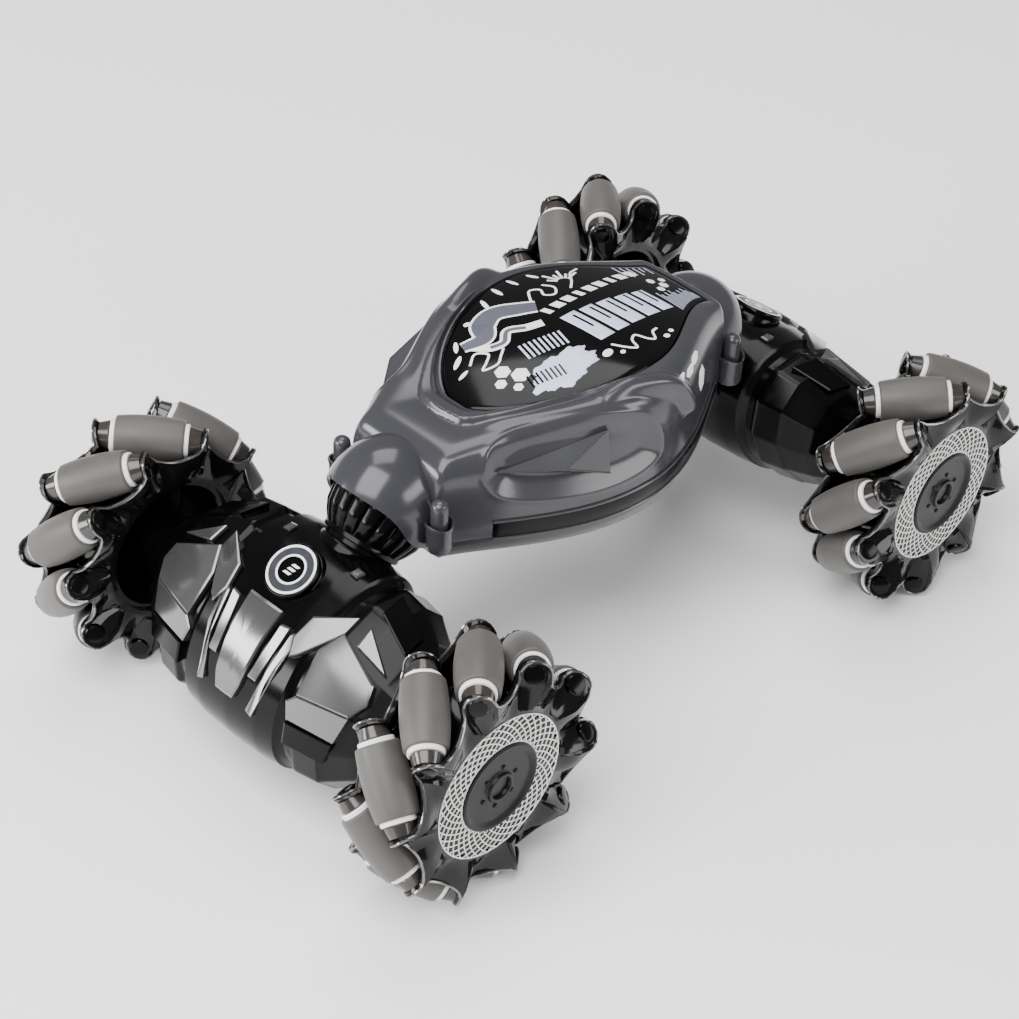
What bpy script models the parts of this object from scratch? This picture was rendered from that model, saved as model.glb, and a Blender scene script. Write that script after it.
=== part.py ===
"""Stunt car on four roller wheels. A beetle-shaped body rides between two axle modules, and each module
turns on a ball joint whose axis runs 45 degrees down through the module's centre.

Sizes are in millimetres and are turned to metres where a mesh is made. X points forward, Y to the car's
left and Z up; the origin is on the ground under the middle of the body.
"""

import math

import bmesh
import bpy
import numpy as np
from mathutils import Matrix, Vector

MM = 0.001
GAP = 0.3  # between two pieces that touch

# Wheels
WHEEL_RADIUS = 43.0
ROLLER_CIRCLE = 35.5  # radius of the circle that the rollers' centres lie on
ROLLER_COUNT = 10
ROLLER_TILT = math.radians(45)
ROLLER_HALF = 12.4
ROLLER_SIDES, PIN_SIDES = 10, 5
PIN_RADIUS = 1.5
PIN_END = 15.2
PIN_CLEARANCE = 0.5
ARM_START, ARM_END = 12.9, 16.4  # along the roller's axis, from its middle
ARM_OUTLINE = [(-15.0, -5.2), (3.6, -3.8), (3.6, 3.8), (-15.0, 5.2)]  # outwards from the pin, and across
CORE_RADIUS, CORE_WALL = 24.0, 2.6
CORE_HALF_WIDTH, FACE_OFFSET, FACE_RADIUS = 11.5, 13.0, 22.0
HUB_SHAFT_RADIUS, HUB_SHAFT_END = 4.0, 45.0  # the shaft's inner end is this far from the car's middle
CUP_FLOOR = 8.5
CORE_SIDES = 20
WHEEL_X = 105.3
WHEEL_Y = 75.6
AXLE_Z = WHEEL_RADIUS

# Each wheel: the angle of its first roller from the top in degrees, and the sign of its rollers' tilt
WHEEL_TURNS = {
    ("front", 1): (4.9, -1), ("front", -1): (5.0, 1),
    ("rear", 1): (-9.9, 1), ("rear", -1): (2.1, -1),
}

# Ball joints between the body and the axle modules
BALL_X = 69.0
BALL_Z = AXLE_Z + (WHEEL_X - BALL_X)  # the axis falls 45 degrees from here to the axle's middle
TWIST_ANGLE = math.radians(45)
BALL_OUTER = (22.0, 19.2, 22.0)
BALL_INNER = (20.3, 17.9, 20.3)
BALL_POLE = 86  # degrees of latitude of the small flats that close a ball
RIM_OFFSET = 2.5  # of the hood's rim, from the ball's centre along the twist axis
COLLAR_OFFSET = 15.0
TWIST_SHAFT_RADIUS = 3.0
SHAFT_CLEARANCE = 0.5
DRUM_PROFILE = [  # distance from the ball's centre along the twist axis, and radius
    (-24.0, TWIST_SHAFT_RADIUS), (-4.0, TWIST_SHAFT_RADIUS), (-4.0, 15.2), (0.0, 17.2), (3.5, 17.2),
    (8.5, 16.5), (12.0, 14.9), (COLLAR_OFFSET, 12.8), (COLLAR_OFFSET, 10.4), (1.0, 10.4),
]
DRUM_SIDES = 18

# Body
BODY_HALF_LENGTH = 66.5
BODY_END_WIDTH = 20.0  # half width of the blunt ends
BODY_HALF_WIDTH = 47.5
BODY_SWELL = 1.4  # how quickly the outline swells from its ends
BELLY_Z = 62.5
SPLIT_Z = 71.0
BELT_Z = 77.5
BELT_INSET = 0.4
WALL = 2.2
SIDE_POINTS = 9  # outline points along each side of the body
DOME_SHARES = (0.0, 0.22, 0.42, 0.62, 0.8, 1.0)
SIDE_FULLNESS, END_FULLNESS = 0.74, 0.44  # a smaller exponent makes a squarer shoulder
TUB_PROFILE = [  # inset of the outline, height above the belly
    (9.0, 0.0), (3.2, 1.6), (BELT_INSET, SPLIT_Z - BELLY_Z - GAP),
    (BELT_INSET + WALL, SPLIT_Z - BELLY_Z - GAP), (5.4, 3.6), (10.5, WALL),
]

# Lid panel
PANEL_FRONT, PANEL_WIDEST, PANEL_TAIL = 38.7, -13.0, -62.0
PANEL_HALF_WIDTH, PANEL_TAIL_WIDTH, PANEL_NOSE = 33.0, 14.0, 4.0
PANEL_ROUNDING, PANEL_WAIST = 0.72, 1.1
PANEL_TOP = 112.5
PANEL_FALL_ALONG, PANEL_FALL_ACROSS = 9.7, 3.0
PANEL_THICKNESS = 2.0
PANEL_CLEARANCE = 0.6
PANEL_RIM = 11.0

# Posts of the dome, and the clips of the tub that they stand in: height and radius
POST_X, POST_Y = 67.5, 22.3
POST_PROFILE = [(74.0, 2.5), (75.0, 2.8), (89.0, 2.8), (90.6, 1.9)]
CLIP_PROFILE = [(69.0, 4.3), (82.9, 4.3), (82.9, 3.3), (72.0, 3.3)]
NOTCH_PROFILE = [(60.0, 4.9), (83.4, 4.9)]
WEB_X, WEB_LOW, WEB_HIGH = 55.0, (20.0, 83.8), (23.4, 87.0)
POST_SIDES = 12

# Axle housings: distance from the middle, half size along the twist axis, half size across it
HOUSING_STATIONS = [
    (0.0, 36.0, 25.2), (13.0, 35.6, 24.8), (21.0, 34.4, 23.8), (24.0, 31.8, 22.2),
    (28.0, 33.4, 22.8), (37.0, 32.4, 21.6), (47.0, 25.4, 18.4), (55.0, 17.0, 14.6),
]
HOUSING_END = 56.5
HOUSING_WALL = 2.0
HOUSING_SQUARENESS = 0.92
HOUSING_COLUMNS = 8
HOUSING_SHOULDER = 50.0  # stations past this one close in towards the shaft
SHAFT_HOLE = 5.4
BOSS_RADIUS, BOSS_DEPTH, BOSS_SIDES = 13.4, 30.0, 20

# Inner works
MOTOR_PROFILE = [  # distance from the car's middle, and radius
    (14.0, 3.0), (16.0, 3.0), (16.0, 10.0), (33.0, 10.0), (33.0, 12.6), (47.0, 12.6),
    (47.0, HUB_SHAFT_RADIUS + 0.4), (44.0, HUB_SHAFT_RADIUS + 0.4),
]
MOTOR_SIDES = 10
CELL_RADIUS, CELL_HALF_LENGTH = 9.0, 27.0
BOARD = ((-28, -20, 83.0), (28, 20, 84.6))
BOARD_PARTS = {
    "chip": ((-10, -8, 84), (4, 6, 86.2)),
    "plug": ((14, -16, 84), (24, 2, 88.0)),
    "aerial": ((-26, 8, 84), (-18, 18, 87.0)),
}
DRIVE_CASE = ((-15, -13, 88.5), (15, 13, 101.5))
DRIVE_SHAFT_Z = 94.0
DRIVE_SHAFT_PROFILE = [(10.0, 2.4), (44.0, 2.4), (44.0, 4.4), (46.8, 2.8)]


def clear_scene():
    for item in list(bpy.data.objects):
        bpy.data.objects.remove(item, do_unlink=True)


def material(name, colour, roughness, metallic=0.0):
    made = bpy.data.materials.new(name)
    made.use_nodes = True
    shader = made.node_tree.nodes["Principled BSDF"]
    shader.inputs["Base Color"].default_value = (*colour, 1.0)
    shader.inputs["Roughness"].default_value = roughness
    shader.inputs["Metallic"].default_value = metallic
    made.diffuse_color = (*colour, 1.0)
    return made


def mesh_of(name, points, faces):
    """A mesh from points in millimetres."""
    mesh = bpy.data.meshes.new(name)
    mesh.from_pydata([tuple(float(c) * MM for c in point) for point in points], [], faces)
    mesh.validate()
    mesh.update()
    return mesh


def outward_mesh(mesh):
    """Turns every closed body of a mesh so that its faces point out."""
    work = bmesh.new()
    work.from_mesh(mesh)
    bmesh.ops.recalc_face_normals(work, faces=work.faces)
    work.to_mesh(mesh)
    work.free()
    return mesh


def add_object(name, mesh, finish, place=Matrix.Identity(4), parent=None):
    made = bpy.data.objects.new(name, mesh)
    bpy.context.scene.collection.objects.link(made)
    if not mesh.materials:
        mesh.materials.append(finish)
    made.matrix_world = place
    if parent:
        made.parent = parent
        made.matrix_parent_inverse = parent.matrix_world.inverted()
    return made


def shift(x, y, z):
    """A placement in metres without a turn."""
    return Matrix.Translation(Vector((x, y, z)) * MM)


def frame_at(x, y, z, up=(0, 0, 1), forward=(1, 0, 0)):
    """A placement in metres whose local Z is up and whose local X is as near forward as it can be."""
    z_axis = Vector(up).normalized()
    y_axis = z_axis.cross(Vector(forward)).normalized()
    x_axis = y_axis.cross(z_axis)
    turn = Matrix((x_axis, y_axis, z_axis)).transposed().to_4x4()
    return shift(x, y, z) @ turn


def circle(radius, sides, start=0.0):
    """Points around a circle."""
    return [(radius * math.cos(start + math.tau * i / sides), radius * math.sin(start + math.tau * i / sides))
            for i in range(sides)]


def ring_faces(rings, count, first_cap=True, last_cap=True):
    """Quads between successive rings of points, with the first and last rings closed by one face each."""
    faces = []
    for ring in range(rings - 1):
        for i in range(count):
            j = (i + 1) % count
            a, b = ring * count, (ring + 1) * count
            faces.append((a + i, a + j, b + j, b + i))
    if first_cap:
        faces.append(tuple(range(count - 1, -1, -1)))
    if last_cap:
        faces.append(tuple((rings - 1) * count + i for i in range(count)))
    return faces


def turned(name, profile, sides, start=0.0):
    """A solid turned about local Z from (height, radius) pairs, listed upwards along its outside."""
    points = [(x, y, height) for height, radius in profile for x, y in circle(radius, sides, start)]
    return mesh_of(name, points, ring_faces(len(profile), sides))


def ellipsoid(name, axes, sides, rows):
    """A closed ball with half sizes axes: rings of latitude between two small flat poles."""
    points = []
    for row in range(rows + 1):
        tilt = math.radians(BALL_POLE * (2 * row / rows - 1))
        wide = circle(math.cos(tilt), sides, math.pi / sides)
        points += [(axes[0] * x, axes[1] * y, axes[2] * math.sin(tilt)) for x, y in wide]
    return mesh_of(name, points, ring_faces(rows + 1, sides))


def box(name, low, high):
    corners = [(x, y, z) for z in (low[2], high[2]) for x, y in
               ((low[0], low[1]), (high[0], low[1]), (high[0], high[1]), (low[0], high[1]))]
    return mesh_of(name, corners, ring_faces(2, 4))


def helper(name, mesh, place=Matrix.Identity(4)):
    """An object used only to shape another one."""
    made = bpy.data.objects.new(name, mesh)
    bpy.context.scene.collection.objects.link(made)
    made.matrix_world = place
    made.hide_render = True
    made.display_type = "WIRE"
    return made


def shape(target, operation, tool):
    """Adds an exact Boolean of target with the helper tool."""
    modifier = target.modifiers.new(f"{operation.lower()}_{tool.name}", "BOOLEAN")
    modifier.operation = operation
    modifier.solver = "EXACT"
    modifier.object = tool


# --- wheels -----------------------------------------------------------------------------------------


def roller_radius(s):
    """The barrel's radius at s along its axis, so that the wheel's outline is a true circle."""
    return WHEEL_RADIUS - math.hypot(ROLLER_CIRCLE, s * math.sin(ROLLER_TILT))


def roller_mesh():
    """A ten-sided barrel with a five-sided pin standing out of each end."""
    barrel = (-ROLLER_HALF, 0.0, ROLLER_HALF)
    points = [(x, y, s) for s in barrel for x, y in circle(roller_radius(s), ROLLER_SIDES)]
    points += [(x, y, s) for s in (-PIN_END, -ROLLER_HALF, ROLLER_HALF, PIN_END)
               for x, y in circle(PIN_RADIUS, PIN_SIDES)]
    faces = ring_faces(len(barrel), ROLLER_SIDES, first_cap=False, last_cap=False)
    pins = len(barrel) * ROLLER_SIDES
    low, high = pins + PIN_SIDES, pins + 2 * PIN_SIDES
    for start in (pins, high):
        faces += [tuple(start + i for i in face)
                  for face in ring_faces(2, PIN_SIDES, first_cap=start == pins, last_cap=start == high)]
    for i in range(PIN_SIDES):
        j = (i + 1) % PIN_SIDES
        for rim, pin in ((0, low), (2 * ROLLER_SIDES, high)):
            a, b, c = rim + 2 * i, rim + 2 * i + 1, rim + (2 * i + 2) % ROLLER_SIDES
            faces += [(a, b, pin + i), (b, pin + j, pin + i), (b, c, pin + j)]
    return outward_mesh(mesh_of("roller", points, faces))


def roller_axes(angle, hand):
    """Unit vectors of a roller at this angle from the wheel's top: outwards, along its axis, across it.

    The wheel turns about Y. Angles run from the top towards the rear, and hand is the tilt's sign."""
    outward = Vector((-math.sin(angle), 0, math.cos(angle)))
    tangent = Vector((-math.cos(angle), 0, -math.sin(angle)))
    along = Vector((0, 1, 0)) * math.cos(ROLLER_TILT) + tangent * (hand * math.sin(ROLLER_TILT))
    return outward, along, along.cross(outward)


def arm_points(outward, along, across, end):
    """One cage arm: a tapered plate across the roller's axis, from inside the core to past the pin."""
    return [outward * (ROLLER_CIRCLE + r) + along * s + across * w
            for s in sorted((end * ARM_START, end * ARM_END)) for r, w in ARM_OUTLINE]


def socket_points(outward, along, across, end):
    """The pin's blind hole in an arm."""
    span = sorted((end * (ARM_START - 1.0), end * (PIN_END + GAP)))
    return [outward * (ROLLER_CIRCLE + r) + along * s + across * w
            for s in span for r, w in circle(PIN_RADIUS + PIN_CLEARANCE, PIN_SIDES + 1)]


def repeated_prisms(name, maker, corners, phase, hand):
    """The same prism at both ends of every roller, as one mesh of separate closed bodies."""
    points, faces = [], []
    for k in range(ROLLER_COUNT):
        axes = roller_axes(phase + math.tau * k / ROLLER_COUNT, hand)
        for end in (-1, 1):
            start = len(points)
            points += maker(*axes, end)
            faces += [tuple(start + i for i in face) for face in ring_faces(2, corners)]
    return outward_mesh(mesh_of(name, points, faces))


def wheel(name, x, y, turn, finishes, parent):
    """A cage of two rows of arms on a cupped core with its shaft, and its free-running rollers."""
    phase, hand = math.radians(turn[0]), turn[1]
    side = 1 if y > 0 else -1
    centre = Vector((x, y, AXLE_Z))
    bore = CORE_RADIUS - CORE_WALL
    profile = [(HUB_SHAFT_END - abs(y), HUB_SHAFT_RADIUS), (CUP_FLOOR, HUB_SHAFT_RADIUS), (CUP_FLOOR, bore),
               (-CORE_HALF_WIDTH, bore), (-CORE_HALF_WIDTH, CORE_RADIUS), (CORE_HALF_WIDTH, CORE_RADIUS),
               (FACE_OFFSET, FACE_RADIUS)]
    core = turned(f"{name}_cage", profile, CORE_SIDES, phase)
    cage = add_object(f"{name}_cage", core, finishes["cage"], frame_at(*centre, up=(0, side, 0)), parent)
    arms = repeated_prisms(f"{name}_arms", arm_points, len(ARM_OUTLINE), phase, hand)
    sockets = repeated_prisms(f"{name}_sockets", socket_points, PIN_SIDES + 1, phase, hand)
    shape(cage, "UNION", helper(f"{name}_arms", arms, shift(*centre)))
    shape(cage, "DIFFERENCE", helper(f"{name}_sockets", sockets, shift(*centre)))
    barrel = roller_mesh()
    for k in range(ROLLER_COUNT):
        outward, along, _ = roller_axes(phase + math.tau * k / ROLLER_COUNT, hand)
        spot = centre + outward * ROLLER_CIRCLE
        place = frame_at(*spot, up=along, forward=outward)
        add_object(f"{name}_roller_{k}", barrel, finishes["roller"], place, parent)


# --- axle modules -----------------------------------------------------------------------------------


def twist_frame(end, at_axle=False):
    """The twist axis of one end: local Z points from the ball's centre down to the axle's middle."""
    down = (end * math.cos(TWIST_ANGLE), 0, -math.sin(TWIST_ANGLE))
    if at_axle:
        return frame_at(end * WHEEL_X, 0, AXLE_Z, up=down)
    return frame_at(end * BALL_X, 0, BALL_Z, up=down)


def housing_rings(inset, ends):
    """(distance along the axle, half size along the twist axis, half size across it) from right to left."""
    half = [(y if y < HOUSING_SHOULDER else y - inset * 0.6, along - inset, across - inset)
            for y, along, across in HOUSING_STATIONS]
    half.append((ends, SHAFT_HOLE, SHAFT_HOLE))
    return [(-y, along, across) for y, along, across in reversed(half[1:])] + half


def half_shell_points(sign, inset, ends):
    """A grid of points over half of the housing, rows along the axle and columns round the half."""
    points = []
    for y, along, across in housing_rings(inset, ends):
        for i in range(HOUSING_COLUMNS + 1):
            turn = math.pi * i / HOUSING_COLUMNS
            wide = math.copysign(abs(math.cos(turn)) ** HOUSING_SQUARENESS, math.cos(turn))
            deep = abs(math.sin(turn)) ** HOUSING_SQUARENESS
            points.append((across * wide, y, sign * (along * deep + GAP / 2)))
    return points


def housing_half(name, end, towards_ball, finish, parent):
    """Half of an axle housing, split on the plane through the axle that crosses the twist axis.

    Local Z runs along the twist axis away from the ball, and local Y along the axle."""
    sign = -1 if towards_ball else 1
    outside = half_shell_points(sign, 0.0, HOUSING_END)
    inside = half_shell_points(sign, HOUSING_WALL, HOUSING_END - HOUSING_WALL)
    count, wide = len(outside), HOUSING_COLUMNS + 1
    rows = count // wide
    faces = []
    for layer in (0, count):
        for row in range(rows - 1):
            for i in range(HOUSING_COLUMNS):
                a = layer + row * wide + i
                faces.append((a, a + 1, a + wide + 1, a + wide))
    border = [*range(wide), *[row * wide + HOUSING_COLUMNS for row in range(1, rows)],
              *[(rows - 1) * wide + i for i in range(HOUSING_COLUMNS - 1, -1, -1)],
              *[row * wide for row in range(rows - 2, 0, -1)]]
    for a, b in zip(border, border[1:] + border[:1]):
        faces.append((a, b, b + count, a + count))
    place = twist_frame(end, at_axle=True)
    made = add_object(name, outward_mesh(mesh_of(name, outside + inside, faces)), finish, place, parent)
    if towards_ball:
        reach = math.hypot(WHEEL_X - BALL_X, BALL_Z - AXLE_Z)
        neck = [(COLLAR_OFFSET + GAP - reach, BOSS_RADIUS), (-BOSS_DEPTH, BOSS_RADIUS)]
        boss = turned(f"{name}_boss", neck, BOSS_SIDES)
        shape(made, "UNION", helper(f"{name}_boss", boss, place))
    return made


def axle_module(label, end, finishes):
    """Everything that turns on one ball joint, under an empty on its axis."""
    pivot = bpy.data.objects.new(f"{label}_twist_axis", None)
    bpy.context.scene.collection.objects.link(pivot)
    pivot.matrix_world = twist_frame(end)
    bpy.context.view_layer.update()
    bowl = turned(f"{label}_drum", DRUM_PROFILE, DRUM_SIDES)
    add_object(f"{label}_drum", bowl, finishes["drum"], twist_frame(end), pivot)
    housing_half(f"{label}_housing_inner", end, True, finishes["housing"], pivot)
    housing_half(f"{label}_housing_outer", end, False, finishes["housing"], pivot)
    for side_name, side in (("left", 1), ("right", -1)):
        name = f"{label}_{side_name}"
        motor = turned(f"{name}_motor", MOTOR_PROFILE, MOTOR_SIDES)
        place = frame_at(end * WHEEL_X, 0, AXLE_Z, up=(0, side, 0))
        add_object(f"{name}_motor", motor, finishes["motor"], place, pivot)
        wheel(name, end * WHEEL_X, side * WHEEL_Y, WHEEL_TURNS[label, side], finishes, pivot)


# --- body -------------------------------------------------------------------------------------------


def body_width(x):
    """Half width of the body's plan outline at x."""
    swell = max(0.0, 1 - (x / BODY_HALF_LENGTH) ** 2) ** BODY_SWELL
    return BODY_END_WIDTH + (BODY_HALF_WIDTH - BODY_END_WIDTH) * swell


def panel_width(x):
    """Half width of the lid panel's plan outline at x: a rounded nose, and a waist towards the tail."""
    if x > PANEL_WIDEST:
        share = (x - PANEL_WIDEST) / (PANEL_FRONT - PANEL_WIDEST)
        return PANEL_NOSE + (PANEL_HALF_WIDTH - PANEL_NOSE) * max(0.0, 1 - share**2) ** PANEL_ROUNDING
    share = ((PANEL_WIDEST - x) / (PANEL_WIDEST - PANEL_TAIL)) ** PANEL_WAIST
    return PANEL_TAIL_WIDTH + (PANEL_HALF_WIDTH - PANEL_TAIL_WIDTH) * (0.5 + 0.5 * math.cos(math.pi * share))


def outline(width, front, tail):
    """A closed plan outline, counter-clockwise, of the points (x, width(x)) and their mirror images."""
    middle, half = (front + tail) / 2, (front - tail) / 2
    xs = [middle + half * math.cos(math.pi * i / (SIDE_POINTS - 1)) for i in range(SIDE_POINTS)]
    left = [(x, width(x)) for x in xs]
    right = [(x, -y) for x, y in reversed(left)]
    return np.array([(front, 0.0), *left, (tail, 0.0), *right])


BODY_PLAN = outline(body_width, BODY_HALF_LENGTH, -BODY_HALF_LENGTH)
PANEL_PLAN = outline(panel_width, PANEL_FRONT, PANEL_TAIL)


def panel_height(plan):
    """Height of the lid panel's crowned face above each plan point."""
    along = (plan[:, 0] - PANEL_WIDEST) / (PANEL_FRONT - PANEL_WIDEST)
    across = plan[:, 1] / PANEL_HALF_WIDTH
    return PANEL_TOP - PANEL_FALL_ALONG * along**2 - PANEL_FALL_ACROSS * across**2


def inset_plan(plan, distance):
    """The outline moved in by distance, measured towards the outline's own middle."""
    middle = np.array([(plan[:, 0].max() + plan[:, 0].min()) / 2, 0.0])
    away = plan - middle
    return middle + away * (1 - distance / np.linalg.norm(away, axis=1, keepdims=True))


def lift(plan, heights):
    return np.column_stack([plan, np.broadcast_to(heights, len(plan))])


def dome_ring(share, inset):
    """One ring of the upper shell, from the belt (share 0) up to the lid's edge (share 1)."""
    turn = share * math.pi / 2
    nearness = (np.abs(BODY_PLAN[:, 0]) / BODY_HALF_LENGTH) ** 3
    fullness = SIDE_FULLNESS + (END_FULLNESS - SIDE_FULLNESS) * nearness
    spread = 1 - max(0.0, math.cos(turn)) ** fullness
    rise = math.sin(turn) ** fullness
    plan = BODY_PLAN + (inset_plan(PANEL_PLAN, -PANEL_CLEARANCE) - BODY_PLAN) * spread[:, None]
    heights = BELT_Z + (panel_height(PANEL_PLAN) - BELT_Z) * rise
    return lift(inset_plan(plan, inset), heights - inset * share)


def closed_rings(name, rings):
    """A closed solid over a list of rings of points, whose first and last rings are capped."""
    return outward_mesh(mesh_of(name, np.vstack(rings), ring_faces(len(rings), len(rings[0]))))


def ball_tool(name, end, axes):
    return helper(name, ellipsoid(name, axes, 16, 8), shift(end * BALL_X, 0, BALL_Z))


def dome_mesh():
    """The dome's outer skin with its lid recess, and its lining, joined along the belt's lower edge."""
    floor = PANEL_THICKNESS + PANEL_CLEARANCE
    edge, rim = inset_plan(PANEL_PLAN, -PANEL_CLEARANCE), inset_plan(PANEL_PLAN, PANEL_RIM)
    skin = [lift(inset_plan(BODY_PLAN, BELT_INSET), SPLIT_Z)]
    skin += [dome_ring(share, 0.0) for share in DOME_SHARES]
    skin += [lift(edge, panel_height(PANEL_PLAN) - floor), lift(rim, panel_height(rim) - floor)]
    lining = [lift(rim, panel_height(rim) - floor - WALL)]
    lining += [dome_ring(share, WALL) - np.array([0, 0, floor * share**3]) for share in DOME_SHARES[::-2]]
    lining.append(lift(inset_plan(BODY_PLAN, BELT_INSET + WALL), SPLIT_Z))
    count, first = len(BODY_PLAN), len(skin) * len(BODY_PLAN)
    last = first + (len(lining) - 1) * count
    faces = ring_faces(len(skin), count, first_cap=False)
    faces += [tuple(first + i for i in face) for face in ring_faces(len(lining), count, last_cap=False)]
    faces += [(i, (i + 1) % count, last + (i + 1) % count, last + i) for i in range(count)]
    return outward_mesh(mesh_of("upper_shell", np.vstack([*skin, *lining]), faces))


def upper_shell(finish):
    """The dome, with the two hoods over the drums and the four posts."""
    shell = add_object("upper_shell", dome_mesh(), finish)
    for end, label in ((1, "front"), (-1, "rear")):
        hood = ball_tool(f"{label}_hood_form", end, BALL_OUTER)
        beyond = box(f"{label}_below_rim", (-40, -40, RIM_OFFSET), (40, 40, 60))
        shape(hood, "DIFFERENCE", helper(f"{label}_below_rim", beyond, twist_frame(end)))
        shape(shell, "UNION", hood)
        for side in (1, -1):
            spot = shift(end * POST_X, side * POST_Y, 0)
            notch = helper(f"{label}_notch", turned("clip_notch", NOTCH_PROFILE, POST_SIDES), spot)
            shape(shell, "DIFFERENCE", notch)
            shape(shell, "UNION", helper(f"{label}_post", turned("post", POST_PROFILE, POST_SIDES), spot))
            low, high = sorted((side * WEB_LOW[0], side * WEB_HIGH[0]))
            near, far = sorted((end * WEB_X, end * POST_X))
            web = box("post_web", (near, low, WEB_LOW[1]), (far, high, WEB_HIGH[1]))
            shape(shell, "UNION", helper(f"{label}_post_web", web))
        shape(shell, "DIFFERENCE", ball_tool(f"{label}_socket", end, BALL_INNER))
        bore = TWIST_SHAFT_RADIUS + SHAFT_CLEARANCE
        hole = turned("shaft_hole", [(-40.0, bore), (0.0, bore)], POST_SIDES)
        shape(shell, "DIFFERENCE", helper(f"{label}_shaft_hole", hole, twist_frame(end)))
    return shell


def lower_shell(finish):
    """The tub under the dome, with the clips that the posts stand in."""
    rings = [lift(inset_plan(BODY_PLAN, inset), BELLY_Z + rise) for inset, rise in TUB_PROFILE]
    tub = add_object("lower_shell", closed_rings("lower_shell", rings), finish)
    clearance = tuple(half + GAP for half in BALL_OUTER)
    for end, label in ((1, "front"), (-1, "rear")):
        for side in (1, -1):
            clip = turned("clip", CLIP_PROFILE, POST_SIDES)
            spot = shift(end * POST_X, side * POST_Y, 0)
            shape(tub, "UNION", helper(f"{label}_clip", clip, spot))
        shape(tub, "DIFFERENCE", ball_tool(f"{label}_clearance", end, clearance))
    return tub


def top_panel(finish):
    """The crowned lid panel in the dome's recess."""
    rim = inset_plan(PANEL_PLAN, PANEL_RIM)
    plans = [rim * 0.5, rim, PANEL_PLAN]
    rings = [lift(plan, panel_height(plan)) for plan in plans]
    rings += [lift(plan, panel_height(plan) - PANEL_THICKNESS) for plan in reversed(plans)]
    return add_object("top_panel", closed_rings("top_panel", rings), finish)


def battery_pack(finish):
    """Two round cells in one shrink-wrapped pack on the tub's floor."""
    halves = ((CELL_RADIUS, -90), (-CELL_RADIUS, 90))
    turns = [(centre, math.radians(start + 30 * i)) for centre, start in halves for i in range(7)]
    ring = [(centre + CELL_RADIUS * math.cos(turn), CELL_RADIUS * math.sin(turn)) for centre, turn in turns]
    middle = BELLY_Z + WALL + GAP + CELL_RADIUS
    points = [(s, y, middle + z) for s in (-CELL_HALF_LENGTH, CELL_HALF_LENGTH) for y, z in ring]
    mesh = outward_mesh(mesh_of("battery_pack", points, ring_faces(2, len(ring))))
    return add_object("battery_pack", mesh, finish)


def circuit_board(finish):
    """The receiver and motor driver board, over the battery, with its largest parts."""
    board = add_object("circuit_board", box("circuit_board", *BOARD), finish)
    for name, (low, high) in BOARD_PARTS.items():
        shape(board, "UNION", helper(f"board_{name}", box(name, low, high)))
    return board


def twist_drive(finish):
    """The gearbox that turns both drums: a middle case, and a shaft with a bevel gear to each end."""
    drive = add_object("twist_drive", box("twist_drive", *DRIVE_CASE), finish)
    for end, label in ((1, "front"), (-1, "rear")):
        shaft = turned("drive_shaft", DRIVE_SHAFT_PROFILE, MOTOR_SIDES)
        place = frame_at(0, 0, DRIVE_SHAFT_Z, up=(end, 0, 0), forward=(0, 0, 1))
        shape(drive, "UNION", helper(f"{label}_drive_shaft", shaft, place))
    return drive


def main():
    clear_scene()
    finishes = {
        "cage": material("smoked_plastic", (0.035, 0.034, 0.033), 0.2),
        "roller": material("roller_rubber", (0.21, 0.20, 0.19), 0.65),
        "drum": material("black_gloss_drum", (0.01, 0.01, 0.011), 0.15),
        "housing": material("black_gloss_housing", (0.012, 0.012, 0.013), 0.15),
        "motor": material("motor_steel", (0.45, 0.45, 0.46), 0.35, 1.0),
    }
    grey = material("grey_gloss_shell", (0.17, 0.17, 0.18), 0.3)
    upper_shell(grey)
    lower_shell(grey)
    top_panel(material("black_gloss_panel", (0.012, 0.012, 0.013), 0.12))
    battery_pack(material("battery_wrap", (0.02, 0.12, 0.35), 0.4))
    circuit_board(material("green_board", (0.02, 0.14, 0.05), 0.5))
    twist_drive(material("white_gearbox", (0.6, 0.6, 0.58), 0.45))
    axle_module("front", 1, finishes)
    axle_module("rear", -1, finishes)


main()
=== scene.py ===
import math

import bpy
import numpy as np
from mathutils import Matrix, Vector


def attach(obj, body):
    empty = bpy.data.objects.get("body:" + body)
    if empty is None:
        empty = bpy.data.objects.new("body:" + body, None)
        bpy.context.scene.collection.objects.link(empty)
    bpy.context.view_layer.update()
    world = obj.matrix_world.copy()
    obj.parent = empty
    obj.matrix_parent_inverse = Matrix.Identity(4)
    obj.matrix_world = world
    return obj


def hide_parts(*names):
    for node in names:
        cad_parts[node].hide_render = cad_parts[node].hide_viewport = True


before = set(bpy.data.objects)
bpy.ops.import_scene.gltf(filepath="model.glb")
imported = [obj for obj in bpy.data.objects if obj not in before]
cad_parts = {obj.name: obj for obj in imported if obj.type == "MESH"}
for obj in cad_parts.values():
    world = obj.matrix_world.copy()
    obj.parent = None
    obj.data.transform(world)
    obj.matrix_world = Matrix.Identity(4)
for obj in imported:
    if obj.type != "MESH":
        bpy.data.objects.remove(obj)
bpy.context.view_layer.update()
print("frame loaded with", len(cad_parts), "nodes")

# All shapes below are worked out in millimetres: x forwards, y to the car's left, z up from the ground.
mm = 0.001
rootHalf = math.sqrt(0.5)

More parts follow.
